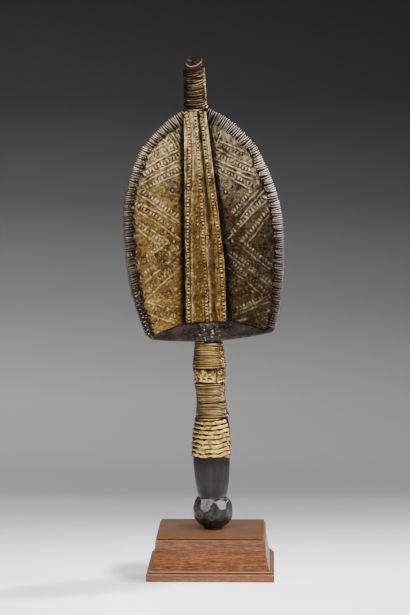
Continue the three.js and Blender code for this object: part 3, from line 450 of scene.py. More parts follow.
def lined(face, back):
    """A closed sheet from a fine grid of points and a back grid with every BACK_STEP-th of its rows and
    columns. Round the edge each back point takes a fan of the fine ones nearest to it."""
    fine = np.arange(face.shape[0] * face.shape[1]).reshape(face.shape[:2])
    coarse = np.arange(back.shape[0] * back.shape[1]).reshape(back.shape[:2]) + fine.size
    edge, rim = outer_loop(fine), outer_loop(coarse)
    nearest = (np.arange(len(edge)) + BACK_STEP // 2) // BACK_STEP % len(rim)
    fans = np.stack([np.roll(edge, -1), edge, rim[nearest]], -1)
    between = np.arange(len(rim)) * BACK_STEP + BACK_STEP // 2
    joins = np.stack([edge[between], rim, np.roll(rim, -1)], -1)
    points = np.concatenate([face.reshape(-1, 3), back.reshape(-1, 3)])
    return points, np.vstack([quads(fine), quads(coarse)[:, ::-1]]), np.vstack([fans, joins])


def wires(paths, facing, wide, thick, sides=6):
    """Closed wires along paths shaped (wires, points, 3). A cross-section is an ellipse square to the path:
    thick towards `facing` and wide across it, smaller at both ends."""
    along = np.gradient(paths, axis=1)
    along /= np.linalg.norm(along, axis=-1, keepdims=True)
    across = np.cross(along, facing)
    across /= np.linalg.norm(across, axis=-1, keepdims=True)
    out = np.cross(across, along)
    angle = 2 * np.pi * np.arange(sides) / sides
    taper = np.ones(paths.shape[1])
    taper[[0, -1]] = 0.55
    ring = wide * np.cos(angle)[:, None] * across[:, :, None]
    ring = ring + thick * np.sin(angle)[:, None] * out[:, :, None]
    rings = paths[:, :, None] + ring * taper[None, :, None, None]
    points, faces = skin(rings[0])
    shift = len(points) * np.arange(len(rings))[:, None, None]
    return rings.reshape(-1, 3), (faces[None] + shift).reshape(-1, 4)


def piece(name, shell, material, slot, nodes, crease=40, fields=None):
    """Makes a mesh of a closed shell, turned so that its volume is positive, and lets it ride on the
    figure's one body in place of its CAD nodes."""
    points, *kinds = shell
    tri = np.vstack([k[:, [0, i, i + 1]] for k in kinds for i in range(1, k.shape[1] - 1)])
    a, b, c = (points[tri[:, i]] for i in range(3))
    if np.einsum("ij,ij->", a, np.cross(b, c)) < 0:
        kinds = [k[:, ::-1] for k in kinds]
    sizes = np.concatenate([np.full(len(k), k.shape[1]) for k in kinds])
    mesh = bpy.data.meshes.new(name)
    mesh.vertices.add(len(points))
    mesh.vertices.foreach_set("co", (points * MM).astype(np.float32).ravel())
    mesh.loops.add(int(sizes.sum()))
    mesh.loops.foreach_set("vertex_index", np.concatenate([k.ravel() for k in kinds]).astype(np.int32))
    mesh.polygons.add(len(sizes))
    mesh.polygons.foreach_set("loop_start", (np.cumsum(sizes) - sizes).astype(np.int32))
    mesh.update(calc_edges=True)
    mesh.validate()
    for field, values in (fields or {}).items():
        made = mesh.attributes.new(field, "FLOAT", "POINT")
        made.data.foreach_set("value", values.astype(np.float32))
    obj = bpy.data.objects.new(name, mesh)
    bpy.context.scene.collection.objects.link(obj)
    finish_piece(obj, material, slot, nodes, crease)
    return obj


def finish_piece(obj, material, slot, nodes, crease):
    """Shades a piece smooth but for edges sharper than `crease` degrees and gives it its material. A piece
    with a slot hides the CAD nodes that it stands for and rides on the figure's one body; a part that is
    only joined into the wood has no slot."""
    obj.data.shade_smooth()
    obj.data.set_sharp_from_angle(angle=math.radians(crease))
    obj.data.materials.clear()
    obj.data.materials.append(material)
    if slot:
        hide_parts(*nodes)
        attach(obj, "root")


def along_line(x, h, line):
    """For each point, how far along a line its nearest point lies, how far off the line it is, how far past
    its ends, and the line's length. The line wavers a little by two sines of the way along it, as a line
    drawn by hand does."""
    x0, h0, x1, h1 = line[:4]
    length = math.hypot(x1 - x0, h1 - h0)
    ux, uh = (x1 - x0) / length, (h1 - h0) / length
    run = (x - x0) * ux + (h - h0) * uh
    off = (h - h0) * ux - (x - x0) * uh
    off = off + 0.4 * np.sin(run / 6.5 + x0 + h1) + 0.14 * np.sin(run / 1.9 + h0)
    past = np.maximum(0, np.maximum(-run, run - length))
    return run, off, past, length


def embossing(x, h, ridges, beads, bosses):
    """Relief of a cheek, its crests, which are painted bright, and its darkening in the grooves, the beads'
    beds and the rings round the bosses. A ridge is a bell curve across its line, with a shallow groove along
    each side. A bead is a rounded block at each of the even places along its row, with a pit between one bead
    and the next. Each line fades in and out along its length, and all of them are flatter towards the foot."""
    relief, sunk, dirt_and_shade = np.zeros_like(x), np.zeros_like(x), np.zeros_like(x)
    for line in ridges:
        run, off, past, length = along_line(x, h, line)
        worn = 0.72 + 0.28 * np.sin(run / 2.3 + line[0]) + 0.25 * np.sin(run / 6.1 + line[1])
        shown = bell(past, 1.5)
        relief = np.maximum(relief, worn * shown * bell(off, 0.75))
        groove = shown * bell(np.abs(off) - 1.5, 0.6)
        groove = groove * (0.7 + 0.3 * np.sin(run / 2.7 + line[3]))
        sunk = np.maximum(sunk, groove)
        dirt_and_shade = np.maximum(dirt_and_shade, 0.8 * groove)
    for line in beads:
        run, off, past, length = along_line(x, h, line)
        count = max(1, round(length / BEAD_PITCH))
        pitch = length / count
        number = np.clip(np.round(run / pitch), 0, count)
        size = 0.9 + 0.3 * np.sin(number * 2.4 + line[0])
        slant = 0.3 * np.sin(number * 1.7 + line[1]) * off
        beyond = (run - number * pitch - slant) / (1.15 + 0.15 * np.sin(number * 3.1 + line[2]))
        bead = np.exp(-(beyond**4) - (off / (line[4] + 0.2)) ** 4)
        bed = np.exp(-((off / (line[4] + 0.3)) ** 6) - (past / 1.2) ** 2)
        relief = np.maximum(relief, 0.95 * size * bead)
        sunk = np.maximum(sunk, 1.1 * bed * (1 - bead))
        dirt_and_shade = np.maximum(dirt_and_shade, bed * (1 - bead) * (0.65 + 0.25 * np.sin(number * 1.9 + line[3])))
    for bx, bh, rise in bosses:
        away = np.hypot(x - bx, h - bh)
        dome = bell(away, 1.1)
        ring = bell(away - 2.0, 0.65)
        relief = np.maximum(relief, rise * 1.4 * dome)
        sunk = np.maximum(sunk, rise * ring)
        dirt_and_shade = np.maximum(dirt_and_shade * (1 - dome), rise * 1.3 * ring)
    strength = np.interp(h, [0, 60, 110, 145, 220], [0.42, 0.5, 0.8, 1.15, 1.3])
    return strength * (relief - 0.38 * sunk), relief, np.clip(dirt_and_shade, 0, 1)


def cheek_grid(outline):
    """Places on one cheek, as distance from the middle and height, and how far out each column lies as a
    share. A column runs from beside the band out to the stitches and a row from the sill's line up to the
    top, both in even steps."""
    rows, columns = CHEEK_GRID
    table_h = np.linspace(CHIN_HEIGHT, HEAD_HEIGHT, 200)
    half = half_width(outline, table_h)
    bar = np.minimum(band_edge(outline, table_h), 0.6 * half)
    near = bar + np.minimum(1.2, 0.1 * half)
    far = np.clip(inset_half(outline, table_h, strip_at(table_h)), near + 0.1 * half, 0.94 * half)
    share = np.linspace(0, 1, columns)[None]
    low = CHIN_HEIGHT + CORNER_ROUND
    u = lerp(np.interp(low, table_h, near), np.interp(low, table_h, far), share) / half_width(outline, low)
    sill_line = chin_height(outline, u) + CHIN_LIP + HOLLOW[0] * (1 - u**VALLEY_POWER) / SILL_SLOPE
    h = lerp(sill_line + 0.45, SHEET_HEAD, np.linspace(0, 1, rows)[:, None])
    return lerp(np.interp(h, table_h, near), np.interp(h, table_h, far), share), h, share


def cheek_sheet(outline, ridges, beads, bosses):
    """Grids of the face and back of one cheek's sheet, and the face's wear, painted shade and painted
    highlight. The face follows the wood, lifted by the sheet, the embossing and the buckles left by
    hammering, and dips under the stitches."""
    side = outline["side"]
    x, h, share = cheek_grid(outline)
    wood = front_of(outline, x, h)
    x = x * side
    relief, rubbed_and_highlight, dirt_and_shade = embossing(x, h, ridges, beads, bosses)
    buckle = 0.26 * (1 + ripples(x, h, 24, 3 + side)) + 0.12 * (1 + ripples(x, h, 9, 11 + side))
    beaten = np.interp(h, [120, 165], [0.08, 0.17])
    buckle = buckle + beaten * (1 + ripples(x, h, 3.4, 17 + side, 24))
    buckle = buckle + 0.5 * beaten * ripples(x, h, 1.9, 19 + side, 24)
    width = (x[:, [-1]] - x[:, [0]]) * side
    from_stitches, from_band = (1 - share) * width, share * width
    edge = bell(np.minimum(from_stitches, h - h[:1]), 0.5)
    ragged = 3.2 + 0.9 * ripples(x, h, 5, 31 + side)
    under = np.clip((ragged - from_stitches) / 0.9, 0, 1)
    lift = np.clip(buckle, 0, 1.1) + relief * (1 - under) - 0.3 * edge - 0.25 * under
    face = on_head(x, wood - GAP - SHEET - lift, h)
    back = on_head(x, wood - GAP, h)[::BACK_STEP, ::BACK_STEP]
    wear = CHEEK_WEAR_AND_SHADE[side]
    low = np.clip((125 - h) / 60, 0, 1)
    # Painted shadow of the bar: dark right beside the band and fainter further out
    beside = wear["shadow_at_band"] * bell(from_band, 3.6, 4)
    beside = beside + wear["shadow_near_band"] * bell(from_band, 9)
    dirty = dirt_and_shade * np.interp(h, [0, 60, 120, 150], [0.55, 0.6, 0.85, 1])
    near_stitches = 0.45 * bell(from_stitches, 5)
    red = wear["red_at_band"] * low * bell(from_band, 14)
    # Crests painted brighter towards the top, partly as rubbing and partly as painted highlight
    rubbed_and_highlight = np.clip(rubbed_and_highlight, 0, 1) * (1 - under) * np.interp(h, [0, 60, 110, 150], [0.22, 0.26, 0.45, 1])
    fields = {
        "rubbed_and_highlight": rubbed_and_highlight,
        "dirt_and_shade": np.clip(np.maximum.reduce([dirty, under, edge, beside, near_stitches]), 0, 1),
        "red": red + 0.35 * low * bell(from_stitches, 12),
        "pale": np.interp(h, *wear["pale"]),
    }
    return face, back, fields


def padded_fields(fields, back):
    """The fields of a lined sheet: those of its face, then nothing on its back."""
    spare = np.zeros(back.shape[0] * back.shape[1])
    return {name: np.concatenate([values.ravel(), spare]) for name, values in fields.items()}


def pit_column(x, h, line_x, seed):
    """A column of punched pits that follows line_x up the band, with a small bead raised between one pit and
    the next, and a shallow groove along each side. The pits stand a little off their even places."""
    turn = h / PIT_PITCH + 0.12 * ripples(h, 0 * h, 9, seed + 60)
    number = np.round(turn)
    wave = np.cos(2 * np.pi * turn)
    across = x - line_x + 0.22 * np.sin(number * 1.3 + seed)
    size = 1 + 0.22 * np.sin(number * 2.1 + seed)
    pit = bell(across, 0.85 * size, 4) * np.clip((wave - 0.05) / 0.6, 0, 1)
    bead = bell(across, 1.05 * size, 4) * np.clip((0.1 - wave) / 0.6, 0, 1)
    groove = bell(np.abs(across) - 1.9, 0.5)
    return 0.75 * bead - 0.6 * pit - 0.3 * groove + 0.3, bead, np.clip(pit + 0.55 * groove, 0, 1)


def band_sheet():
    """Grids of the middle band's face and back, and the face's wear and painted light: three columns of pits
    on low ribs, a narrow ridge beside two of them, sunk flutes between, and a crease left of the right
    column, which is deep and narrow at the top and opens towards the foot. The edges are slightly rolled.
    Dirt lies in the pits, the crease and round the nails, the ends are darker, and the band's edges are
    painted dark as shade. The beads, rolled edges, ridges and the streaks towards the head are painted
    bright, partly as rubbing and partly as highlight. The head is paler, partly as painted reflection, and
    the foot is redder than the head."""
    rows, columns = BAND_GRID
    h = np.linspace(BAND_FOOT, BAND_HEAD, rows)[:, None]
    left, right = -band_edge(LEFT, h), band_edge(RIGHT, h)
    x = lerp(left, right, np.linspace(0, 1, columns)[None])
    h = np.broadcast_to(h, x.shape)
    left_line, middle_line, right_line = lines = [np.interp(h, *line) for line in PIT_LINES]
    made = [pit_column(x, h, line, seed) for seed, line in enumerate(lines, 1)]
    relief, rubbed_and_highlight, dirt_and_shade = (sum(part) for part in zip(*made))

    def strip(middle, half):
        return bell(x - middle, half)

    depth = np.clip((h - 70) / 90, 0.0, 1)
    crease = strip(lerp(right_line, middle_line, lerp(0.56, 0.46, depth)), lerp(3.0, 1.1, depth))
    crease = crease * lerp(0.8, 1, depth)
    flute = strip(lerp(left_line, middle_line, 0.6), lerp(3.4, 1.2, depth))
    flute = flute + 0.6 * strip(left_line + 2.1, 0.6)
    flute = flute + 0.7 * strip(left_line - 2.1, 0.6) + 0.5 * strip(right_line + 2.2, 0.5) * depth
    ridge = strip(left_line + 3.4, 1.0)
    ridge = ridge + strip(middle_line + lerp(3.6, 2.2, depth), 1.1) * (1 - 0.8 * depth)
    rolled = strip(left + 0.5, 0.6) + 0.7 * strip(right - 0.5, 0.6)
    streaky = 0.22 * ripples(x, h * 0.2, 3.4, 21, 20) + 0.1 * ripples(x, h, 3.6, 22, 20)
    relief = 0.6 + relief - 1.3 * crease - 0.5 * flute + 0.45 * ridge + 0.4 * rolled + streaky
    end = np.minimum(h - BAND_FOOT, BAND_HEAD - h)
    relief -= 0.5 * bell(end, 0.7)
    ring = sum(bell(np.hypot(x - nx, h - nh) - 2.0, 0.6) for _, _, nx, nh in BAND_NAILS)
    relief -= 0.2 * ring
    face = on_head(x, bar_front(h) - GAP - SHEET - np.clip(relief, -0.6, 3), h)
    back = on_head(x, bar_front(h) - GAP, h)[::BACK_STEP, ::BACK_STEP]
    streaks = np.clip(0.45 + 1.1 * ripples(x * 1.6, h * 0.12, 3.6, 23, 20), 0, 1)
    low = np.clip((205 - h) / 80, 0.1, 1)
    edges = bell(np.minimum(x - left, right - x), 0.5)
    # Dark in the crease and round the nails, and painted shade along the band's edges
    dark = crease * lerp(0.7, 1, depth) * np.clip((x - middle_line) * 2, 0, 1) + 0.8 * ring + 0.5 * edges
    # Beads, rolled edges, ridges and upper streaks painted bright: rubbing and painted highlight
    rubbed_and_highlight = lerp(0.5, 0.9, depth) * rubbed_and_highlight + 0.5 * rolled + 0.2 * ridge + 0.4 * streaks * (1 - low)
    red = low * (0.3 + 0.7 * streaks) * (1.1 * flute + 1.4 * crease + 0.4 - 0.5 * ridge) + 0.3 * flute
    fields = {
        "rubbed_and_highlight": np.clip(rubbed_and_highlight, 0, 1),
        "dirt_and_shade": np.clip(0.95 * dirt_and_shade + dark + 0.5 * bell(end, 0.8), 0, 1),
        "red": np.clip(red, 0, 1),
        "pale": 0.8 * np.clip((h - 145) / 50, 0, 1),
    }
    return face, back, fields


def board():
    """Grids of the front and back of the hollow board, with the bar raised in its middle. A column holds a
    share of the half width and a row a share of the height. Close to the outline both faces turn away from
    each other by an arc, which rounds the rim and the chin's lip."""
    v = np.linspace(0, 1, 150)[:, None] ** 1.35
    on_bar = np.array([0, 0.35, 0.7, 0.9, 1.0])[None]
    outside = 1 - (1 - np.linspace(0, 1, 44)[None]) ** 1.5
    halves = []
    for outline in (LEFT, RIGHT):

        def column_x(h):
            half = half_width(outline, h)
            bar = np.minimum(band_edge(outline, h), 0.6 * half) - BAR_INSET
            return np.concatenate([on_bar * bar, lerp(bar + 0.2, half, outside)], 1)

        low = np.array([[CHIN_HEIGHT + CORNER_ROUND]])
        u = column_x(low) / half_width(outline, low)
        chin = chin_height(outline, np.clip(u, 0, 1))
        h = lerp(chin, HEAD_HEIGHT, v)
        x = np.concatenate([column_x(h[:, [k]])[:, [k]] for k in range(h.shape[1])], 1)
        slope = np.abs(slope_of(outline, h))
        side_gap = (half_width(outline, h) - x) / np.sqrt(1 + slope * slope)
        gap = np.clip(np.minimum(side_gap, h - chin), 0, RIM_ROUND)
        turned = RIM_ROUND - np.sqrt(RIM_ROUND**2 - (RIM_ROUND - gap) ** 2)
        front = front_of(outline, x, h)
        bar = slice(0, on_bar.shape[1])
        front[:, bar] = np.minimum(front[:, bar], bar_front(h[:, bar]))
        front = front + turned + 0.15 * (1 + ripples(x, h, 12, 5)) * (h < 30)
        carved = 0.3 * (1 + ripples(x, h * 0.6, 15, 8)) * (1 - turned / RIM_ROUND)
        back = back_of(outline, x, h) - turned - carved
        halves.append((x * outline["side"], front, back, h))
    x, front, back, h = (np.concatenate([left[:, :0:-1], right], 1) for left, right in zip(*halves))
    return on_head(x, front, h), on_head(x, back, h)


def neck_root():
    """The neck's wood running up over the sill to the bar's foot: ellipses whose half width and front
    change with height, cut by shallow strokes of the knife."""
    heights, halves, fronts = np.array(ROOT_STATIONS).T
    up = np.linspace(heights[0], heights[-1], 90)[:, None]
    half, front = (np.interp(up, heights, shares) * NECK_TOP_RADIUS for shares in (halves, fronts))
    angle = 2 * np.pi * np.arange(160)[None] / 160
    middle = (front + ROOT_BACK) / 2
    x, h = half * np.cos(angle), up * BAND_FOOT + 0 * angle
    y = middle + (ROOT_BACK - middle) * np.sin(angle)
    cut = np.zeros_like(x)
    for stroke in ROOT_STROKES:
        _, off, past, _ = along_line(x, h, stroke)
        cut = np.maximum(cut, np.exp(-((off / 0.7) ** 2) - (past / 1.0) ** 2))
    rough = 0.4 * (1 + ripples(x, h, 5, 31)) + 0.25 * (1 + ripples(x, h, 2.4, 33, 24))
    y = y + np.where(np.sin(angle) < 0, 1.3 * cut + rough, 0)
    return on_head(x, y, h)


def knob_axis(along):
    """Middle of the knob at distances along it, and its lean there. The lean grows evenly from foot to end,
    so the middle is the running sum of short steps in that direction."""
    steps = np.linspace(KNOB_FOOT, KNOB_LENGTH, 600)
    lean = np.radians(lerp(*KNOB_LEANS, np.clip(steps / KNOB_LENGTH, 0, 1)))
    size = steps[1] - steps[0]
    y, h = -np.cumsum(np.sin(lean)) * size, np.cumsum(np.cos(lean)) * size
    y += bar_front(HEAD_HEIGHT) + knob_radius(0) + 1.4 - np.interp(0, steps, y)
    h += HEAD_HEIGHT - np.interp(0, steps, h)
    return np.interp(along, steps, y), np.interp(along, steps, h), np.interp(along, steps, lean)


def on_knob(radius, angle, along):
    """Points round the knob. An angle in degrees is counted from the front towards the right."""
    radius, angle, along = np.broadcast_arrays(radius, np.radians(angle), along)
    y, h, lean = knob_axis(along)
    back = -radius * np.cos(angle)
    return on_head(KNOB_X + radius * np.sin(angle), y + back * np.cos(lean), h + back * np.sin(lean))


def knob_radius(along):
    """Radius of the knob at a distance along it, straight from one station to the next."""
    return np.interp(along, *np.array(KNOB_RADII).T)


def knob_wood():
    """The knob: a slightly tapered round peg, cut off at a slant. Its end is worn hollow, and the end's edge
    is a quarter circle."""
    angle = np.arange(64)[None] * 360 / 64
    turn = np.radians(np.linspace(0, 90, 8))
    end = KNOB_LENGTH - KNOB_ARRIS
    along = np.concatenate([[KNOB_FOOT, -4], np.linspace(0, end, 40), end + KNOB_ARRIS * np.sin(turn[1:])])
    along = along[:, None]
    inset = np.concatenate([[4, 1], np.zeros(40), KNOB_ARRIS * (1 - np.cos(turn[1:]))])[:, None]
    radius = knob_radius(along) - inset - 0.15 * (1 + ripples(angle / 6, along, 9, 41)) * (along > 2)
    last = np.array([[0.66], [0.33], [0.02]])
    cap_radius = radius[-1:] * last
    hollow = 0.7 * (1 - last) ** 0.5
    along = np.concatenate([along, along[-1:] - hollow])
    radius = np.concatenate([radius, cap_radius])
    share = np.clip((along - end + 8) / 8, 0, 1)
    towards, aside = np.cos(np.radians(angle)), np.sin(np.radians(angle))
    fall = math.tan(math.radians(KNOB_CUT)) * towards - math.tan(math.radians(KNOB_SIDE_CUT)) * aside
    rough = 0.25 * ripples(radius * towards, radius * aside, 5, 43)
    return on_knob(radius, angle, along - share * (fall * radius - rough + 0.6))


def shaft_wood():
    """Shaft and neck, turned about the leaning axis and a little uneven from the knife."""
    h = np.concatenate([np.linspace(27, 70, 60), np.linspace(71, NECK_TOP, 60)])[:, None]
    angle = np.arange(96)[None] * 360 / 96
    uneven = 0.12 * (1 + ripples(np.cos(np.radians(angle)) * 16, h * 0.5, 14, 51))
    return on_shaft(wood_radius(h) - uneven, angle, h)


def bulb_wood():
    """The bulb: an outline turned about the axis, cut by the flats of a knife. Each flat is a plane that lies
    a little inside the outline at its middle, and a point's radius is the smallest that the outline and the
    planes leave, rounded where two of them meet: a soft minimum, less the log of the sum of their powers."""
    stations = np.array(BULB_STATIONS)
    curve = np.concatenate([np.linspace(a, b, 10, endpoint=False) for a, b in zip(stations, stations[1:])])
    h, round_radius = np.vstack([curve, stations[-1:]]).T[:, :, None]
    angle = np.arange(264)[None] * 360 / 264
    left = [1.03 * round_radius + 0 * angle]
    for at, tilt, middle, share in FRONT_FLATS + [(*flat, FLAT_SHARE) for flat in OTHER_FLATS]:
        reach = share * np.interp(middle, *stations.T) + (middle - h) * math.tan(math.radians(tilt))
        left.append(reach / np.maximum(np.cos(np.radians(angle - at)), 0.3))
    soft = 0.18
    cut = round_radius - soft * np.log(np.sum(np.exp(-(np.array(left) - round_radius) / soft), 0))
    faceted = np.clip((h - 1.8) / 3, 0, 1)
    return on_shaft(lerp(round_radius, cut, faceted), angle, h)


def carved_wood(material):
    """One body of wood: the board, the neck's root, the knob, the shaft and the bulb are joined by a
    union of their closed meshes."""
    parts = [slab(*board()), skin(neck_root()), skin(knob_wood()), skin(shaft_wood()), skin(bulb_wood())]
    made = [piece(f"wood_{i}", shell, material, None, ()) for i, shell in enumerate(parts)]
    base, others = made[0], made[1:]
    for other in others:
        union = base.modifiers.new(other.name, "BOOLEAN")
        union.operation = "UNION"
        union.solver = "MANIFOLD"
        union.object = other
    seen = base.evaluated_get(bpy.context.evaluated_depsgraph_get())
    mesh = bpy.data.meshes.new_from_object(seen)
    wood = bpy.data.objects.new("figure_wood", mesh)
    bpy.context.scene.collection.objects.link(wood)
    for obj in made:
        bpy.data.objects.remove(obj)
    finish_piece(wood, material, "dark_wood", ["carved_figure"], 38)
    return wood


def winding(around, radius_at, start, end, turns, radius, heavy, seed, wander, gaps=(), tilt=0):
    """One wire wound in a helix. `heavy` gives how many turns at the foot and at the head are of a thicker
    wire. The place along the axis grows with the angle in step with the wire's thickness, plus a slow
    wander, and the wire lies its own radius off the wood. Towards the head the turns come to lie aslant by
    `tilt`. In each of the gaps, given as turn and size, the wire has been pushed up against its neighbour."""
    steps = int(turns * 36)
    turn = np.linspace(0, turns, steps + 1)
    thicker = np.maximum(np.clip((heavy[0] - turn) * 3, 0, 1), np.clip((heavy[1] - turns + turn) * 3, 0, 1))
    wire = radius * lerp(1, 1.35, thicker)
    along = np.concatenate([[0], np.cumsum((wire[1:] + wire[:-1]) / 2)])
    along = lerp(start, end, along / along[-1])
    uneven = ripples(turn, 0 * turn, 2.6, seed) + 0.9 * ripples(turn, 0 * turn, 0.9, seed + 7)
    along = along + wander * uneven * np.sin(np.pi * turn / turns) ** 0.3
    lift = GAP + wire + 0.08 * (1 + ripples(turn * 3, 0 * turn, 2.3, seed + 1))
    for at, size in gaps:
        pushed = bell(turn - at, 0.22)
        along, lift = along + size * pushed, lift + 0.4 * size * pushed
    angle = -90 + 360 * turn
    along = along + tilt * turn / turns * np.sin(np.radians(angle))
    path = around(radius_at(along) + lift, angle, along)
    outward = path - around(0, angle, along)
    wire = wire[None, :, None, None]
    return wires(path[None], outward[None], wire * 0.76, wire * 0.85, sides=8)


def rim_stitches(outline):
    """Wire stitched over the rim, one closed wire for each pass. A pass comes out of its hole just inside
    the sheet's edge, runs over that edge and the wood, round the rim and back in behind, square to the
    outline. Its lean, length and thickness vary from pass to pass, and low down every other one is short.
    Each is painted bright at its hole and on the rim, partly as rubbing and partly as highlight, and dark
    between them, partly as dirt and partly as painted shade. Along each rim some heights are painted darker,
    as shade."""
    side = outline["side"]
    draw = np.random.default_rng(STITCH_SEED)
    table = np.linspace(chin_height(outline, 1) + CORNER_ROUND - 0.5, STITCH_HEAD[side], 3000)
    run = np.concatenate([[0], np.cumsum(np.hypot(np.diff(half_width(outline, table)), np.diff(table)))])
    count = int(run[-1] / STITCH_PITCH[side])
    number = np.arange(count)[:, None]
    even = (number + 0.5) / count * run[-1] + draw.uniform(-0.2, 0.2, (count, 1))
    h0 = np.interp(even, run, table)
    slope = slope_of(outline, h0)
    length = np.hypot(slope, 1)
    strip = strip_at(h0 - 2)
    low = np.clip((75 - h0) / 40, 0, 1)
    short = low * (number % 2) * (2.2 if side < 0 else 1.2)
    bundle = 0.9 * np.sin(number * 1.1) + 0.6 * np.sin(number * 0.43 + 1)
    top = np.clip((h0 - 200) / 14, 0, 1) * (2.6 if side > 0 else 0.6)
    leg = strip + STITCH_LAP + bundle + draw.uniform(-0.7, 0.7, (count, 1)) - short + top
    lift = GAP + STITCH_RADIUS + 0.1 + draw.uniform(0, 0.65, (count, 1))
    outside = 0 * h0
    inboard = np.concatenate([
        leg, leg - 0.4, leg - 1.0, leg - 2.0, np.minimum(strip * 0.4, leg - 2.6), strip * 0.2,
        outside - lift * 0.7, outside - lift, outside - lift * 0.8, outside + 2.2,
        outside + STITCH_BACK_LEG - 0.5, outside + STITCH_BACK_LEG], 1)
    gathered = 0.8 * np.sin(number * 1.7 + 2)
    lean = draw.normal(1.0 if side < 0 else 0.3, 0.45, (count, 1)) + gathered
    lean = lean * np.clip(inboard, 0, None) / 8
    x = half_width(outline, h0) - inboard / length + lean * slope / length
    h = h0 + inboard * slope / length + lean / length
    on_sheet = np.clip((inboard - strip + 1.2) / 1.2, 0, 1) * SHEET
    rim = rim_front(h0)
    y = front_of(outline, np.abs(x), h) - lift - on_sheet
    y[:, 0] += 1.3
    y[:, 1] += 0.15
    y[:, 4:6] -= 0.15
    y[:, 6:9] = rim + np.array([[0.4, RIM_THICKNESS / 2, RIM_THICKNESS - 0.3]])
    y[:, 9:] = back_of(outline, np.abs(x[:, 9:]), h[:, 9:]) + lift
    y[:, 11:] -= lift + 0.9
    path = on_head(x * side, y, h)
    inner_x = side * (half_width(outline, h0) - 4 / length)
    inner = on_head(inner_x, rim + RIM_THICKNESS / 2, h0 + 4 * slope / length)
    wire = STITCH_RADIUS * draw.uniform(0.85, 1.3, (count, 1, 1, 1))
    points, faces = wires(path, path - inner, wire, wire, sides=6)
    end = draw.uniform(0.3, 1, (count, 1))
    none = 0 * end
    # Bright at the hole and over the rim as rubbing and painted highlight; dark between, as dirt and shade
    bright = np.concatenate([end, end, 0.2 * end, none, *[0.9 * end] * 8], 1)
    dirt = np.concatenate([none, none, 0.6 + none, 0.6 + none, *[0.35 * (1 - end)] * 8], 1)
    dot = (number + 1) % 2 * 0.7
    dotted = np.concatenate([end, end, none, none, dot, *[none] * 7], 1)
    covered = np.concatenate([none, none, 1 + none, 1 + none, 0.9 - dot, *[0.85 + none] * 7], 1)
    low = low * (1 if side < 0 else 0.4)
    rubbed_and_highlight, dirt_and_shade = lerp(bright, dotted, low), lerp(dirt, covered, low)
    # Painted shade along each rim, by height
    shade = np.interp(h0, SHADE_HEIGHTS, STITCH_SHADE[side])
    rubbed_and_highlight, dirt_and_shade = rubbed_and_highlight * (1 - shade), dirt_and_shade + (1 - dirt_and_shade) * shade
    rubbed_and_highlight, dirt_and_shade = (np.repeat(field, 6, axis=1).ravel() for field in (rubbed_and_highlight, dirt_and_shade))
    return (points, faces), {"rubbed_and_highlight": rubbed_and_highlight, "dirt_and_shade": dirt_and_shade}


def turned_sleeve(inner, outer, h, angle):
    """A closed sleeve round the shaft: its outer wall from foot to head, then its inner wall back down."""
    outside, inside = on_shaft(outer, angle, h), on_shaft(inner, angle, h)
    return np.concatenate([outside, inside[::-1]])


def collar_sheet():
    """The plain collar: wood radius plus the sheet, with a rolled lip at the foot and a thinner one at the
    head, ragged ends and shallow dents. It is broken along both lips in places, cracked, and sunk along the
    strokes of COLLAR_MARKS. The sunk places and the edges against the wires are darker, and the lips are
    painted bright, partly as rubbing and partly as highlight."""
    angle = np.arange(220)[None] * 360 / 220
    v = np.linspace(0, 1, 60)[:, None]
    foot = COLLAR[0] + 0.5 * (1 + ripples(angle / 9, 0 * angle, 6, 71))
    head = COLLAR[1] - 0.7 * (1 + ripples(angle / 9, 0 * angle, 5, 72))
    h = lerp(foot, head, v)
    across = np.radians(np.where(angle > 180, angle - 360, angle)) * COLLAR_RADIUS + 0 * h
    dents = 0.16 * ripples(across, h, 6, 73) + 0.05 * ripples(across, h, 2.5, 74)
    lip = 0.5 * bell(h - foot - 0.8, 0.6) + 0.25 * bell(head - h - 0.6, 0.5)
    broken = np.clip(0.1 + 0.8 * ripples(across, 0 * across, 7, 75), 0, 1)
    torn = np.clip(0.8 * ripples(across, 0 * across, 8, 76), 0, 1)
    sunk = np.maximum(broken * bell(h - foot - 2.2, 0.6), torn * bell(head - h - 1.5, 0.5))
    for *stroke, width in COLLAR_MARKS:
        _, off, past, _ = along_line(across, h, stroke)
        sunk = np.maximum(sunk, np.exp(-((off / width) ** 4) - (past / 0.5) ** 2))
    outer = wood_radius(h) + GAP + SHEET + lip + dents - 0.55 * sunk
    at_wires = 0.9 * np.exp(-((v * 12) ** 2)) + np.exp(-(((1 - v) * 10) ** 2))
    # Lips painted bright, partly as rubbing and partly as highlight; sunk places and edges at the wires
    # darker
    fields = {"rubbed_and_highlight": np.clip(lip * 2, 0, 1), "dirt_and_shade": np.clip(sunk + at_wires, 0, 1)}
    rings = turned_sleeve(wood_radius(h) + GAP, outer, h, angle)
    return rings, {name: np.concatenate([f.ravel(), np.zeros(f.size)]) for name, f in fields.items()}


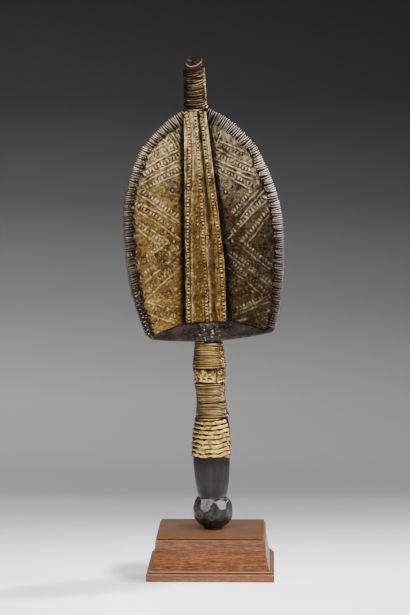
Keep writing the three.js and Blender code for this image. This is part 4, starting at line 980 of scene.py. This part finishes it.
def ribbed_sheet():
    """The ribbed sheet round the front of the shaft. Rounded ribs stand out by a power of a sine of the
    height, split by narrow creases that sag in the middle, rise to the right and vary in depth."""
    v = np.linspace(0, 1, 220)[:, None]
    angle = lerp(RIBBED_LEFT, np.interp(v, *np.array(RIBBED_RIGHT).T), np.linspace(0, 1, 150)[None])
    turn = np.radians(angle)
    across = turn * RIBBED_RADIUS
    foot = RIBBED_FROM + 0.55 * (1 + ripples(across, 0 * across, 7, 81))
    head = RIBBED_HEAD - 0.35 * (1 + ripples(across, 0 * across, 6, 84))
    h = lerp(foot, head, v)
    sagging = 1 - np.cos(turn)
    tilt = 1.1 * np.sin(turn) + 3.4 * sagging / (1 + 0.5 * sagging) + 0.22 * ripples(across, h * 0.35, 12, 82)
    phase = (h - tilt - RIBBED_FROM) / (RIBBED_HEAD - RIBBED_FROM) * RIBS
    rib = np.abs(np.sin(np.pi * phase)) ** 0.8
    broken = np.clip((-20 - angle) / 30, 0, 1)
    deep = np.clip(0.85 + lerp(0.18, 0.5, broken) * ripples(across, h * 1.8, 9, 85), 0.2, 1.1)
    dents = 0.09 * ripples(across, h, 5, 83) + 0.05 * ripples(across, h, 2.6, 86)
    from_sides = np.minimum(angle - angle[:, [0]], angle[:, [-1]] - angle) * 0.3
    edge = bell(np.minimum(np.minimum(v, 1 - v) * 38, from_sides), 0.6)
    relief = 1.1 - 1.6 * deep * (1 - rib) + dents - 0.5 * edge
    outer = wood_radius(h) + GAP + SHEET + np.clip(relief, -0.5, 1.4)
    # Rib tops painted bright, as rubbing and highlight; creases dark, as dirt and painted shade
    fields = {
        "rubbed_and_highlight": np.clip(2.2 * rib - 1.3, 0, 1),
        "dirt_and_shade": np.clip(deep * np.clip((0.72 - rib) / 0.42, 0, 1) + 0.5 * edge, 0, 1),
        "red": np.clip(1.6 * deep * (1 - rib), 0, 1),
    }
    lined_fields = {name: np.concatenate([f, 0 * f], 1).ravel() for name, f in fields.items()}
    return slab(on_shaft(outer, angle, h), on_shaft(wood_radius(h) + GAP, angle, h)), lined_fields


def nail(tip, out):
    """A forged nail: a low dome on a short shank, turned about the line that it is driven along."""
    out = np.asarray(out, float) / np.linalg.norm(out)
    across = np.cross(out, (0, 0, 1.0))
    across /= np.linalg.norm(across)
    other = np.cross(out, across)
    turn = np.radians(np.linspace(4, 90, 8))
    radius = np.concatenate([NAIL_RADIUS * np.sin(turn), [0.95, 0.6, 0.6]])
    rise = np.concatenate([NAIL_HEIGHT * np.cos(turn), [-0.15, -0.3, -4.5]])
    angle = 2 * np.pi * np.arange(16) / 16
    ring = np.cos(angle)[:, None] * across + np.sin(angle)[:, None] * other
    rings = tip + rise[:, None, None] * out + radius[:, None, None] * ring[None]
    return skin(rings)


def stand_block():
    """The stand: a square whose half width follows a moulded outline. From the foot up it has a plinth, a
    quirk, a fillet, a slightly hollowed slope, a ledge, and an undercut slab. Its corners are rounded by
    small arcs, and three of its arrises are painted paler, partly as rubbing and partly as highlight."""
    outline = [
        (STAND_HALF - 0.5, 0), (STAND_HALF - 0.1, 0.15), (STAND_HALF, 0.6), (STAND_HALF, 6.5),
        (STAND_HALF - 0.2, 6.9), (STAND_HALF - 0.9, 7.55), (58.0, 7.75), (57.0, 7.9), (56.7, 8.2),
        (56.9, 8.5), (57.6, 8.65), (57.8, 8.9), (57.75, 9.4), (57.4, 9.7), (56.2, 9.8), (55.7, 9.9),
    ]
    for t in np.linspace(0, 1, 14)[1:]:
        outline.append((lerp(55.5, 51.6, t) - 0.9 * math.sin(math.pi * t), lerp(10.1, 37.3, t)))
    outline += [
        (51.3, 37.6), (50.7, 38.0), (50.0, 38.05), (49.0, 38.1), (48.9, 38.3), (49.3, 38.9), (50.0, 39.4),
        (50.1, 39.8), (50.0, 40.2), (49.6, 40.42), (49.0, STAND_HEIGHT),
    ]
    half, z = np.array(outline).T
    signs = np.repeat([(1, 1), (-1, 1), (-1, -1), (1, -1)], 5, axis=0)
    turn = np.radians([quarter + part for quarter in (0, 90, 180, 270) for part in np.linspace(0, 90, 5)])
    arcs = np.stack([np.cos(turn), np.sin(turn)], -1)
    xy = signs[None] * (half[:, None, None] - 0.8) + 0.8 * arcs[None]
    # Three arrises painted paler, partly as rubbing and partly as highlight
    rubbed = 0.5 * bell(z - 7.1, 0.5) * (half > 59)
    rubbed = rubbed + bell(z - 37.85, 0.25) * (half > 50.5)
    rubbed = rubbed + bell(z - 9.2, 0.5) * (half < 58.5) * (half > 56)
    rings = np.concatenate([xy, np.broadcast_to(z[:, None, None], (*xy.shape[:2], 1))], -1)
    return rings, {"arris_rubbing_and_highlight": np.repeat(0.7 * rubbed, xy.shape[1])}


def linear(hexcode):
    """A colour given as an sRGB hex value, turned to the linear light that shaders work in."""
    channels = [int(hexcode[i:i + 2], 16) / 255 for i in (1, 3, 5)]
    return (*[c / 12.92 if c <= 0.04045 else ((c + 0.055) / 1.055) ** 2.4 for c in channels], 1)


def node(material, kind, inputs=(), stops=(), out=0, **settings):
    """Adds one shader node with its settings, its inputs (values, hex colours, or sockets to link) and its
    colour stops, and gives the output that the next node reads."""
    tree = material.node_tree
    made = tree.nodes.new("ShaderNode" + kind)
    for name, value in settings.items():
        setattr(made, name, value)
    for key, value in dict(inputs).items():
        if isinstance(value, bpy.types.NodeSocket):
            tree.links.new(value, made.inputs[key])
        else:
            made.inputs[key].default_value = linear(value) if isinstance(value, str) else value
    if stops:
        ramp = made.color_ramp
        while len(ramp.elements) < len(stops):
            ramp.elements.new(0.5)
        for element, (place, colour) in zip(ramp.elements, stops):
            element.position = place
            element.color = linear(colour)
    return made.outputs[out] if made.outputs else None


def new_material(name):
    material = bpy.data.materials.new(name)
    material.use_nodes = True
    material.node_tree.nodes.clear()
    return material


def shown(material, shader):
    node(material, "OutputMaterial", {"Surface": shader})
    return material


def laid_over(material, base, layers, blend="MIX"):
    """Lays colours over a base, one after another, each by its own share. The mix's inputs are given by
    number, because its sockets share names."""
    for share, colour in layers:
        base = node(material, "Mix", {0: share, 6: base, 7: colour}, out=2,
                    data_type="RGBA", blend_type=blend)
    return base


def together(material, share, *others):
    """What is left where several shares hold at once: their product."""
    for other in others:
        share = node(material, "Math", {0: share, 1: other}, operation="MULTIPLY")
    return share


def brass(name, stops, bright, dirt, roughness, size=18, tint="#4a2418", olive="#6a6633", redness=0.4,
          glints=0.3):
    """Sheet brass, beaten thin, raised from behind with punches, then handled and left to darken. It is a
    metal with brown, olive and reddish patina in patches of about `size` mm, pale flaky stretches that are
    partly painted reflection, a redder tarnish where the sheet has been touched least, crests painted
    bright in places, partly as rubbing and partly as highlight, small painted glints, and the colour
    `dirt` held in the hollows and other marked places, partly as dirt and partly as painted shade."""
    m = new_material(name)
    place = node(m, "TexCoord", out="Object")
    # Noise as (size in millimetres, detail, roughness)
    cloud, mottle, glint, speck, tooth = (
        node(m, "TexNoise", {"Vector": place, "Scale": 1000 / wide, "Detail": detail, "Roughness": rough})
        for wide, detail, rough in (
            (size, 6, 0.66), (3.4, 5, 0.72), (2.4, 2, 0.5), (2, 4, 0.7), (1.2, 3, 0.5),
        )
    )
    patches = node(m, "TexNoise", {"Vector": place, "Scale": 1000 / 9, "Detail": 5, "Roughness": 0.65},
                   out="Color")
    olive_patch, red_patch, bare_patch = node(m, "SeparateColor", {0: patches}, out=slice(0, 3))
    pale, red, rubbed_and_highlight, dirt_and_shade = (
        node(m, "Attribute", out="Fac", attribute_name=field) for field in ("pale", "red", "rubbed_and_highlight", "dirt_and_shade")
    )
    uneven = node(m, "Math", {0: mottle, 1: 1.3, 2: -0.65}, operation="MULTIPLY_ADD")
    uneven = node(m, "Math", {0: uneven, 1: cloud}, operation="ADD")
    held = node(m, "Math", {0: speck, 1: 0.8, 2: 0.6}, operation="MULTIPLY_ADD")
    held = together(m, dirt_and_shade, held)
    # Shares as (what is read, where it is least, where it is most, least, most)
    greener, redder, bare, flaky, spread, worn, glinting, dirty, rough = (
        node(m, "MapRange", {
            "Value": value, "From Min": low, "From Max": high, "To Min": least, "To Max": most})
        for value, low, high, least, most in (
            (olive_patch, 0.48, 0.66, 0, 0.6), (red_patch, 0.5, 0.68, 0, redness),
            (bare_patch, 0.36, 0.58, 0, 0.85), (mottle, 0.4, 0.58, 0.25, 1), (mottle, 0.35, 0.65, 0, 1),
            (uneven, 0.36, 0.66, 0.1, 1), (glint, 0.6, 0.72, 0, glints), (held, 0.12, 0.98, 0, 0.93),
            (mottle, 0.3, 0.7, roughness - 0.12, roughness + 0.12),
        )
    )
    patina = node(m, "ValToRGB", {"Fac": uneven}, stops)
    colour = laid_over(m, patina, [
        (greener, olive), (redder, "#6b3d26"), (together(m, pale, bare, flaky), "#c9b28c"),
        (together(m, red, spread), tint), (together(m, rubbed_and_highlight, worn), bright), (glinting, bright),
        (dirty, dirt),
    ])
    rough = node(m, "Math", {0: dirty, 1: 0.2, 2: rough}, operation="MULTIPLY_ADD")
    dents = node(m, "Bump", {"Height": mottle, "Strength": 0.75, "Distance": 0.001})
    bump = node(m, "Bump", {"Height": tooth, "Strength": 0.4, "Distance": 0.0003, "Normal": dents})
    return shown(m, node(m, "BsdfPrincipled", {
        "Base Color": colour, "Roughness": rough, "Normal": bump, "Metallic": 1.0}))


def wire_brass(name, stops, roughness, bright="#d8c7a0", dirt="#1a1410", size=7, around=1.0):
    """Drawn brass wire, wound or stitched by hand and browned. It is a metal whose colour changes every few
    millimetres, or along a winding less often round it by the share `around`. Where its fields say so it is
    painted bright, partly as rubbing and partly as highlight, and dark, partly as dirt and partly as painted
    shade."""
    m = new_material(name)
    place = node(m, "TexCoord", out="Object")
    along = node(m, "Mapping", {"Vector": place, "Scale": (around, around, 1)})
    cloud = node(m, "TexNoise", {"Vector": along, "Scale": 1000 / size, "Detail": 3, "Roughness": 0.6})
    fine = node(m, "TexNoise", {"Vector": place, "Scale": 1000 / 1.5, "Detail": 3})
    rubbed_and_highlight, dirt_and_shade = (node(m, "Attribute", out="Fac", attribute_name=field) for field in ("rubbed_and_highlight", "dirt_and_shade"))
    colour = node(m, "ValToRGB", {"Fac": cloud}, stops)
    colour = laid_over(m, colour, [(rubbed_and_highlight, bright), (dirt_and_shade, dirt)])
    rough = node(m, "MapRange", {"Value": fine, "To Min": roughness - 0.08, "To Max": roughness + 0.12})
    bump = node(m, "Bump", {"Height": fine, "Strength": 0.25, "Distance": 0.0002})
    return shown(m, node(m, "BsdfPrincipled", {
        "Base Color": colour, "Roughness": rough, "Normal": bump, "Metallic": 1.0}))


def figure_wood_finish():
    """Close-grained hardwood, carved with a knife, smoked and oiled. The head is dark brown with lighter
    flecks and specks, partly the wood's own and partly painted glints, and paler knife strokes at the neck's
    root, partly fresh cuts and partly painted glints. The shaft is charcoal with a satin rub, and nearly
    black from just below the ribbed sheet up. The knob's side is dark red at its end, with a lip in front
    painted paler, partly as rubbing and partly as highlight, and a dark rough cut on top. The bulb is a
    thick, lumpy, dark grey crust, glossiest where it faces up."""
    m = new_material("smoked_oiled_hardwood")
    place = node(m, "TexCoord", out="Object")
    x, _, height = node(m, "SeparateXYZ", {0: place}, out=slice(0, 3))
    _, facing, upward = node(m, "SeparateXYZ", {0: node(m, "NewGeometry", out="Normal")}, out=slice(0, 3))
    off_middle = node(m, "Math", {0: x, 1: ROOT_CUTS_LEFT_BY}, operation="ADD")
    off_middle = node(m, "Math", {0: off_middle}, operation="ABSOLUTE")
    along_grain, along_cuts = (
        node(m, "Mapping", {"Vector": place, "Scale": (1, 1, stretch)}) for stretch in (0.12, 0.3)
    )
    # Noise as (place, size in millimetres, detail, roughness)
    grain, cuts, cloud, speck, lumps = (
        node(m, "TexNoise", {"Vector": where, "Scale": 1000 / wide, "Detail": detail, "Roughness": rough})
        for where, wide, detail, rough in (
            (along_grain, 2.6, 6, 0.65), (along_cuts, 2.4, 3, 0.5), (place, 16, 5, 0.5), (place, 2.2, 5, 0.8),
            (place, 5, 5, 0.65),
        )
    )
    # Shares as (what is read, where it is least and most, least, most)
    (to_head, to_end, to_bulb, dark_from_ribs, to_root, to_middle, on_top, lip, forward, flecks, specks, cut, satin,
     rubbed) = (
        node(m, "MapRange", {
            "Value": value, "From Min": low, "From Max": high, "To Min": least, "To Max": most})
        for value, (low, high), least, most in (
            (height, TO_HEAD, 0, 1), (height, TO_KNOB_END, 0, 1), (height, TO_BULB, 0, 1),
            (height, DARK_FROM_RIBS, 0, 0.8), (height, ROOT_CUTS_UP_TO, 0, 1),
            (off_middle, ROOT_CUTS_WITHIN, 0, 1),
            (upward, (0.5, 0.62), 0, 1), (upward, (0.16, 0.38), 0, 1), (facing, (-0.55, -0.85), 0, 1),
            (grain, (0.58, 0.7), 0, 0.7), (speck, (0.57, 0.72), 0, 0.6), (cuts, (0.56, 0.7), 0, 1),
            (cloud, (0.3, 0.7), 0.3, 0.5), (upward, (0.05, 0.3), 0.25, 0.8),
        )
    )
    dark_from_ribs, lip = (
        node(m, "Math", {0: share, 1: less}, operation="SUBTRACT")
        for share, less in ((dark_from_ribs, to_head), (lip, on_top))
    )
    charcoal, brown, crust, end_cut = (
        node(m, "ValToRGB", {"Fac": value}, stops) for value, stops in (
            (grain, [(0.3, "#0e0b09"), (0.55, "#191512"), (0.75, "#28221e")]),
            (cloud, [(0.3, "#0c0908"), (0.5, "#1b140e"), (0.68, "#33271c")]),
            (lumps, [(0.35, "#1c1714"), (0.5, "#2c2724"), (0.68, "#423c37")]),
            (lumps, [(0.35, "#0b0806"), (0.5, "#1b1410"), (0.65, "#3a2e26")]),
        )
    )
    # Flecks and specks partly the wood's own and partly painted glints; root strokes pale as cuts and glints
    head = laid_over(m, brown, [
        (flecks, "#4f4236"), (specks, "#75695a"), (together(m, cut, to_middle, to_root), "#a39682"),
    ])
    # The knob's front lip painted paler, partly as rubbing and partly as highlight
    colour = laid_over(m, charcoal, [
        (to_head, head), (dark_from_ribs, "#050404"), (to_end, "#2a110a"), (together(m, on_top, to_end), end_cut),
        (together(m, lip, forward, to_end), "#8a735e"), (to_bulb, crust),
    ])
    rough, gloss = satin, 0.25
    for share, rough_there, gloss_there in ((to_bulb, 0.22, rubbed), (to_end, 0.6, 0.12)):
        rough = node(m, "MapRange", {"Value": share, "To Min": rough, "To Max": rough_there})
        gloss = node(m, "MapRange", {"Value": share, "To Min": gloss, "To Max": gloss_there})
    bump = node(m, "Bump", {"Height": grain, "Strength": 0.4, "Distance": 0.0003})
    lumpy = node(m, "MapRange", {"Value": to_head, "To Min": 0.4, "To Max": 0.9})
    bump = node(m, "Bump", {"Height": lumps, "Strength": lumpy, "Distance": 0.001, "Normal": bump})
    return shown(m, node(m, "BsdfPrincipled", {
        "Base Color": colour, "Roughness": rough, "Normal": bump, "Specular IOR Level": gloss}))


def stand_wood_finish():
    """Reddish-brown hardwood, planed, moulded and waxed. Its grain runs left to right: bands of colour a
    few millimetres high, finer wavy streaks between them, and short dark pores. Its top is painted paler
    and greyer as sheen, and its arrises are painted paler, partly as rubbing and partly as highlight."""
    m = new_material("waxed_reddish_hardwood")
    place = node(m, "TexCoord", out="Object")
    # Noise as (scale along the grain, tilt, size in millimetres, detail, roughness, waviness)
    bands, streaks, pores = (
        node(m, "TexNoise", {
            "Vector": node(m, "Mapping", {"Vector": place, "Scale": (share, 1, 1), "Rotation": (0, tilt, 0)}),
            "Scale": 1000 / wide, "Detail": detail, "Roughness": rough, "Distortion": wavy})
        for share, tilt, wide, detail, rough, wavy in (
            (0.06, 0.02, 7, 4, 0.6, 0.2), (0.11, -0.02, 1, 4, 0.8, 0.15), (0.1, 0, 0.8, 2, 0.5, 0),
        )
    )
    upward = node(m, "SeparateXYZ", {0: node(m, "NewGeometry", out="Normal")}, out="Z")
    pore, painted_top_sheen, rough = (
        node(m, "MapRange", {
            "Value": value, "From Min": low, "From Max": high, "To Min": least, "To Max": most})
        for value, low, high, least, most in (
            (pores, 0.58, 0.7, 0, 0.6), (upward, 0.8, 0.98, 0, 0.14), (streaks, 0, 1, 0.36, 0.56),
        )
    )
    arris_rubbing_and_highlight = node(m, "Attribute", out="Fac", attribute_name="arris_rubbing_and_highlight")
    both = node(m, "Math", {0: bands, 1: 0.3, 2: streaks}, operation="MULTIPLY_ADD")
    grain = node(m, "ValToRGB", {"Fac": both},
                 [(0.49, "#35190a"), (0.6, "#563014"), (0.69, "#6f3f1c"), (0.8, "#8b5628")])
    # Top painted paler as painted sheen; arrises paler as rubbing and painted highlight
    colour = laid_over(m, grain, [(pore, "#351b10"), (painted_top_sheen, "#a88a70"), (arris_rubbing_and_highlight, "#b98a68")])
    bump = node(m, "Bump", {"Height": pore, "Strength": 0.4, "Distance": 0.0002}, invert=True)
    return shown(m, node(m, "BsdfPrincipled", {
        "Base Color": colour, "Specular IOR Level": 0.3, "Roughness": rough, "Normal": bump,
        "Coat Weight": 0.28, "Coat Roughness": 0.25}))


def matt_paper():
    """Seamless matt paper. Its tone is a painted falloff of the light: it darkens as it runs back and rises,
    and towards the right. It also holds the painted soft shadows of SHADES. A faint glow of its own stands
    for the lamps that light only the paper. The glow is stronger in a patch of the floor round the stand."""
    m = new_material("matt_paper")
    place = node(m, "TexCoord", out="Object")
    x, y, z = node(m, "SeparateXYZ", {0: place}, out=slice(0, 3))
    aside = node(m, "Math", {0: x, 1: -0.12}, operation="ADD")
    aside = node(m, "Math", {0: aside}, operation="ABSOLUTE")
    rise, back, right, before_wall, behind_front, near_middle = (
        node(m, "MapRange", {"Value": value, "From Min": low, "From Max": high})
        for value, low, high in (
            (z, -0.001, 0.6), (y, -0.15, 0.45), (x, -0.25, 0.35), (y, 0.3, 0.0), (y, -0.34, -0.2),
            (aside, 0.42, 0.2),
        )
    )
    wall, floor = (
        node(m, "ValToRGB", {"Fac": value}, stops)
        for value, stops in ((rise, WALL_TONES), (back, FLOOR_TONES))
    )
    # Painted falloff of the light: darker towards the right, more so up the wall
    darker = node(m, "MapRange", {"Value": rise, "From Max": 0.15, "To Min": 0.45, "To Max": 0.92})
    tone = laid_over(m, wall, [(1.0, floor), (together(m, right, darker), "#bcbcbc")], "MULTIPLY")
    for (left, front), turn, (long, short), depth in SHADES:
        oval = node(m, "Mapping", {
            "Vector": place, "Location": (left, front, 0), "Rotation": (0, 0, math.radians(turn)),
            "Scale": (long, short, 1)}, vector_type="TEXTURE")
        away = node(m, "VectorMath", {0: oval}, out="Value", operation="LENGTH")
        shade = node(m, "MapRange", {
            "Value": away, "From Min": 0.4, "From Max": 1.1, "To Min": depth, "To Max": 0.0},
            interpolation_type="SMOOTHSTEP")
        tone = laid_over(m, tone, [(shade, "#000000")])
    paper = node(m, "BsdfDiffuse", {"Color": tone})
    patch = together(m, before_wall, behind_front, near_middle)
    glow = node(m, "MapRange", {"Value": patch, "To Min": PAPER_GLOW[0], "To Max": PAPER_GLOW[1]})
    fill = node(m, "Emission", {"Color": tone, "Strength": glow})
    return shown(m, node(m, "AddShader", {0: paper, 1: fill}))


def backdrop():
    """A plain pale floor that sweeps up into a wall: the floor runs back, turns up in a quarter circle and
    rises."""
    turn = np.radians(np.linspace(0, 90, 24))
    y = np.concatenate([[-2600, -400, 300], 300 + 500 * np.sin(turn), [800, 800]])
    z = np.concatenate([[0, 0, 0], 500 * (1 - np.cos(turn)), [1200, 2200]])
    points = np.stack(np.broadcast_arrays([[-3500, 3500]], y[:, None], z[:, None]), -1)
    mesh = bpy.data.meshes.new("studio_sweep")
    faces = [(2 * i, 2 * i + 1, 2 * i + 3, 2 * i + 2) for i in range(len(y) - 1)]
    mesh.from_pydata((points.reshape(-1, 3) * MM).tolist(), [], faces)
    mesh.shade_smooth()
    mesh.materials.append(matt_paper())
    obj = bpy.data.objects.new("studio_sweep", mesh)
    bpy.context.scene.collection.objects.link(obj)


def light(name, at, towards, size, power, spread):
    """A soft rectangular lamp."""
    data = bpy.data.lights.new(name, "AREA")
    data.shape = "RECTANGLE"
    data.size, data.size_y = size
    data.energy = power
    data.spread = math.radians(spread)
    obj = bpy.data.objects.new(name, data)
    obj.location = at
    obj.rotation_euler = (Vector(towards) - Vector(at)).to_track_quat("-Z", "Y").to_euler()
    bpy.context.scene.collection.objects.link(obj)


def studio_air():
    """The weak even light that fills the room."""
    world = bpy.data.worlds.new("studio")
    world.use_nodes = True
    air = world.node_tree.nodes["Background"].inputs
    air["Color"].default_value = linear("#c8c8cc")
    air["Strength"].default_value = 0.1
    bpy.context.scene.world = world


def camera():
    """The picture's camera: in front of the figure, a little to the right, level with the head and looking
    slightly down."""
    data = bpy.data.cameras.new("camera")
    data.lens = CAMERA_LENS
    data.sensor_width = 36
    data.clip_end = 20
    obj = bpy.data.objects.new("camera", data)
    obj.location = Vector(CAMERA_AT) * MM
    level = math.cos(CAMERA_PITCH)
    look = Vector((math.sin(CAMERA_YAW) * level, math.cos(CAMERA_YAW) * level, -math.sin(CAMERA_PITCH)))
    obj.rotation_euler = look.to_track_quat("-Z", "Y").to_euler()
    bpy.context.scene.collection.objects.link(obj)
    bpy.context.scene.camera = obj


def embossed_sheets():
    """The two cheeks and the band, each of its own brass, with its patina from the darkest patches to the
    lightest. The cheeks' brasses are a paler painted lit copy for the left cheek and a darker painted shaded
    copy for the right."""
    golden = brass(
        "golden_embossed_brass_painted_lit", [(0.25, "#2c1f0d"), (0.42, "#4c391c"), (0.58, "#70552b"), (0.78, "#927742")],
        "#ead6a4", "#1a1518", 0.36)
    brown = brass(
        "brown_embossed_brass_painted_shaded", [(0.25, "#1a140e"), (0.45, "#2f2519"), (0.6, "#463725"), (0.8, "#625139")],
        "#cdbc98", "#17151a", 0.36, tint="#33251a", olive="#38361f", redness=0.2, glints=0.15)
    handled = brass(
        "handled_pitted_brass", [(0.25, "#3a2710"), (0.45, "#5f441f"), (0.6, "#80622f"), (0.8, "#a5864a")],
        "#f6e2ac", "#1c130c", 0.33, size=14, tint="#45291a")
    embossed = (
        ("left_cheek_brass", golden, "left_cheek_sheet",
         cheek_sheet(LEFT, LEFT_RIDGES, LEFT_BEADS, LEFT_BOSSES)),
        ("right_cheek_brass", brown, "right_cheek_sheet",
         cheek_sheet(RIGHT, RIGHT_RIDGES, RIGHT_BEADS, RIGHT_BOSSES)),
        ("band_brass", handled, "centre_band", band_sheet()),
    )
    for name, metal, replaced, (face, back, fields) in embossed:
        piece(name, lined(face, back), metal, "embossed_brass", [replaced], 60, padded_fields(fields, back))


def stitched_and_wound():
    """The wire stitched round the rim and the wires wound round the knob and neck, each browned in its own
    way. The two rims' wire is one wire, painted as a darker shaded copy on the left and a paler lit copy on
    the right."""
    # Painted light: the left rim's wire is the shaded copy and the right rim's the lit copy of one wire
    dull = wire_brass(
        "tarnished_brass_wire_painted_shaded", [(0.3, "#4d4033"), (0.5, "#8a7760"), (0.7, "#b8a486")], 0.34, "#ead9b6")
    clear = wire_brass(
        "rubbed_brass_wire_painted_lit", [(0.3, "#94806c"), (0.5, "#ccb8a4"), (0.7, "#f0e2d2")], 0.34, "#fff2e0")
    browned = wire_brass(
        "browned_brass_wire", [(0.34, "#251c14"), (0.47, "#4c3d29"), (0.58, "#75633f"), (0.68, "#b3a17c")],
        0.32, size=2.6, around=0.14)
    handled = wire_brass(
        "handled_brass_wire", [(0.34, "#6a5129"), (0.5, "#957a49"), (0.66, "#c4a871")], 0.34,
        size=2, around=0.1)
    dulled = wire_brass(
        "dulled_brass_wire", [(0.34, "#634a2e"), (0.5, "#896c49"), (0.66, "#b89b75")], 0.36,
        size=1.9, around=0.1)
    for name, outline, metal, replaced in (
        ("left_rim_stitches", LEFT, dull, "left_rim_wire"),
        ("right_rim_stitches", RIGHT, clear, "right_rim_wire"),
    ):
        shell, fields = rim_stitches(outline)
        piece(name, shell, metal, "wire_brass", [replaced], 180, fields)
    knob = winding(on_knob, knob_radius, *KNOB_WIRE, turns=16.5, radius=0.84, heavy=(1.2, 0), seed=93,
                   wander=0.24, tilt=KNOB_WIRE_TILT)
    upper = winding(on_shaft, wood_radius, *UPPER_WIRE, turns=14.2, radius=0.8, heavy=(1.6, 0), seed=94,
                    wander=0.08)
    lower = winding(on_shaft, wood_radius, *LOWER_WIRE, turns=20.4, radius=0.7, heavy=(1, 1.6), seed=95,
                    wander=0.08, gaps=[(9.45, 0.8)])
    for name, shell, metal, replaced in (
        ("knob_winding", knob, browned, "knob_wire"),
        ("upper_neck_winding", upper, handled, "neck_wire_upper"),
        ("lower_neck_winding", lower, dulled, "neck_wire_lower"),
    ):
        piece(name, shell, metal, "wire_brass", [replaced], 180)


def bright_sheets():
    """The collar and the ribbed sheet, both of a paler brass that handling keeps bright."""
    plain = brass(
        "rubbed_plain_brass", [(0.25, "#6d4e25"), (0.45, "#9b7a3e"), (0.6, "#ba9a56"), (0.8, "#d3b874")],
        "#e6cb82", "#24170d", 0.28, size=12, tint="#553619", olive="#94883f")
    rings, fields = collar_sheet()
    piece("collar_brass", skin(rings, looped=True), plain, "bright_brass", ["neck_collar"], 60, fields)
    shell, fields = ribbed_sheet()
    piece("ribbed_brass", shell, plain, "bright_brass", ["shaft_sheet"], 60, fields)


def nails():
    """Two nails at the band's middle, two at its head and one at each side of the ribbed sheet's foot, each
    driven square to the face that it holds."""
    forged = wire_brass("forged_brass_nail", [(0.3, "#5d4d30"), (0.6, "#94804f")], 0.26)
    for name, replaced, x, h in BAND_NAILS:
        tip = on_head(x, bar_front(h) - GAP - SHEET - 1.0, h)
        out = on_head(0.0, -1.0, bar_front(h + 1) - bar_front(h)) - on_head(0.0, 0.0, 0.0)
        piece(name, nail(tip, out), forged, "nail_brass", [replaced], 60)
    for name, replaced, angle in SHAFT_NAILS:
        h = SHAFT_NAIL_HEIGHT
        tip = on_shaft(wood_radius(h) + GAP + SHEET + 0.9, angle, h)
        piece(name, nail(tip, tip - on_shaft(0, angle, h)), forged, "nail_brass", [replaced], 60)


def main():
    camera()
    backdrop()
    for name, lamp in LAMPS.items():
        light(name, *lamp)
    studio_air()
    carved_wood(figure_wood_finish())
    embossed_sheets()
    stitched_and_wound()
    bright_sheets()
    nails()
    rings, fields = stand_block()
    piece("stand_block", skin(rings), stand_wood_finish(), "stand_wood", ["stand"], 35, fields)


main()
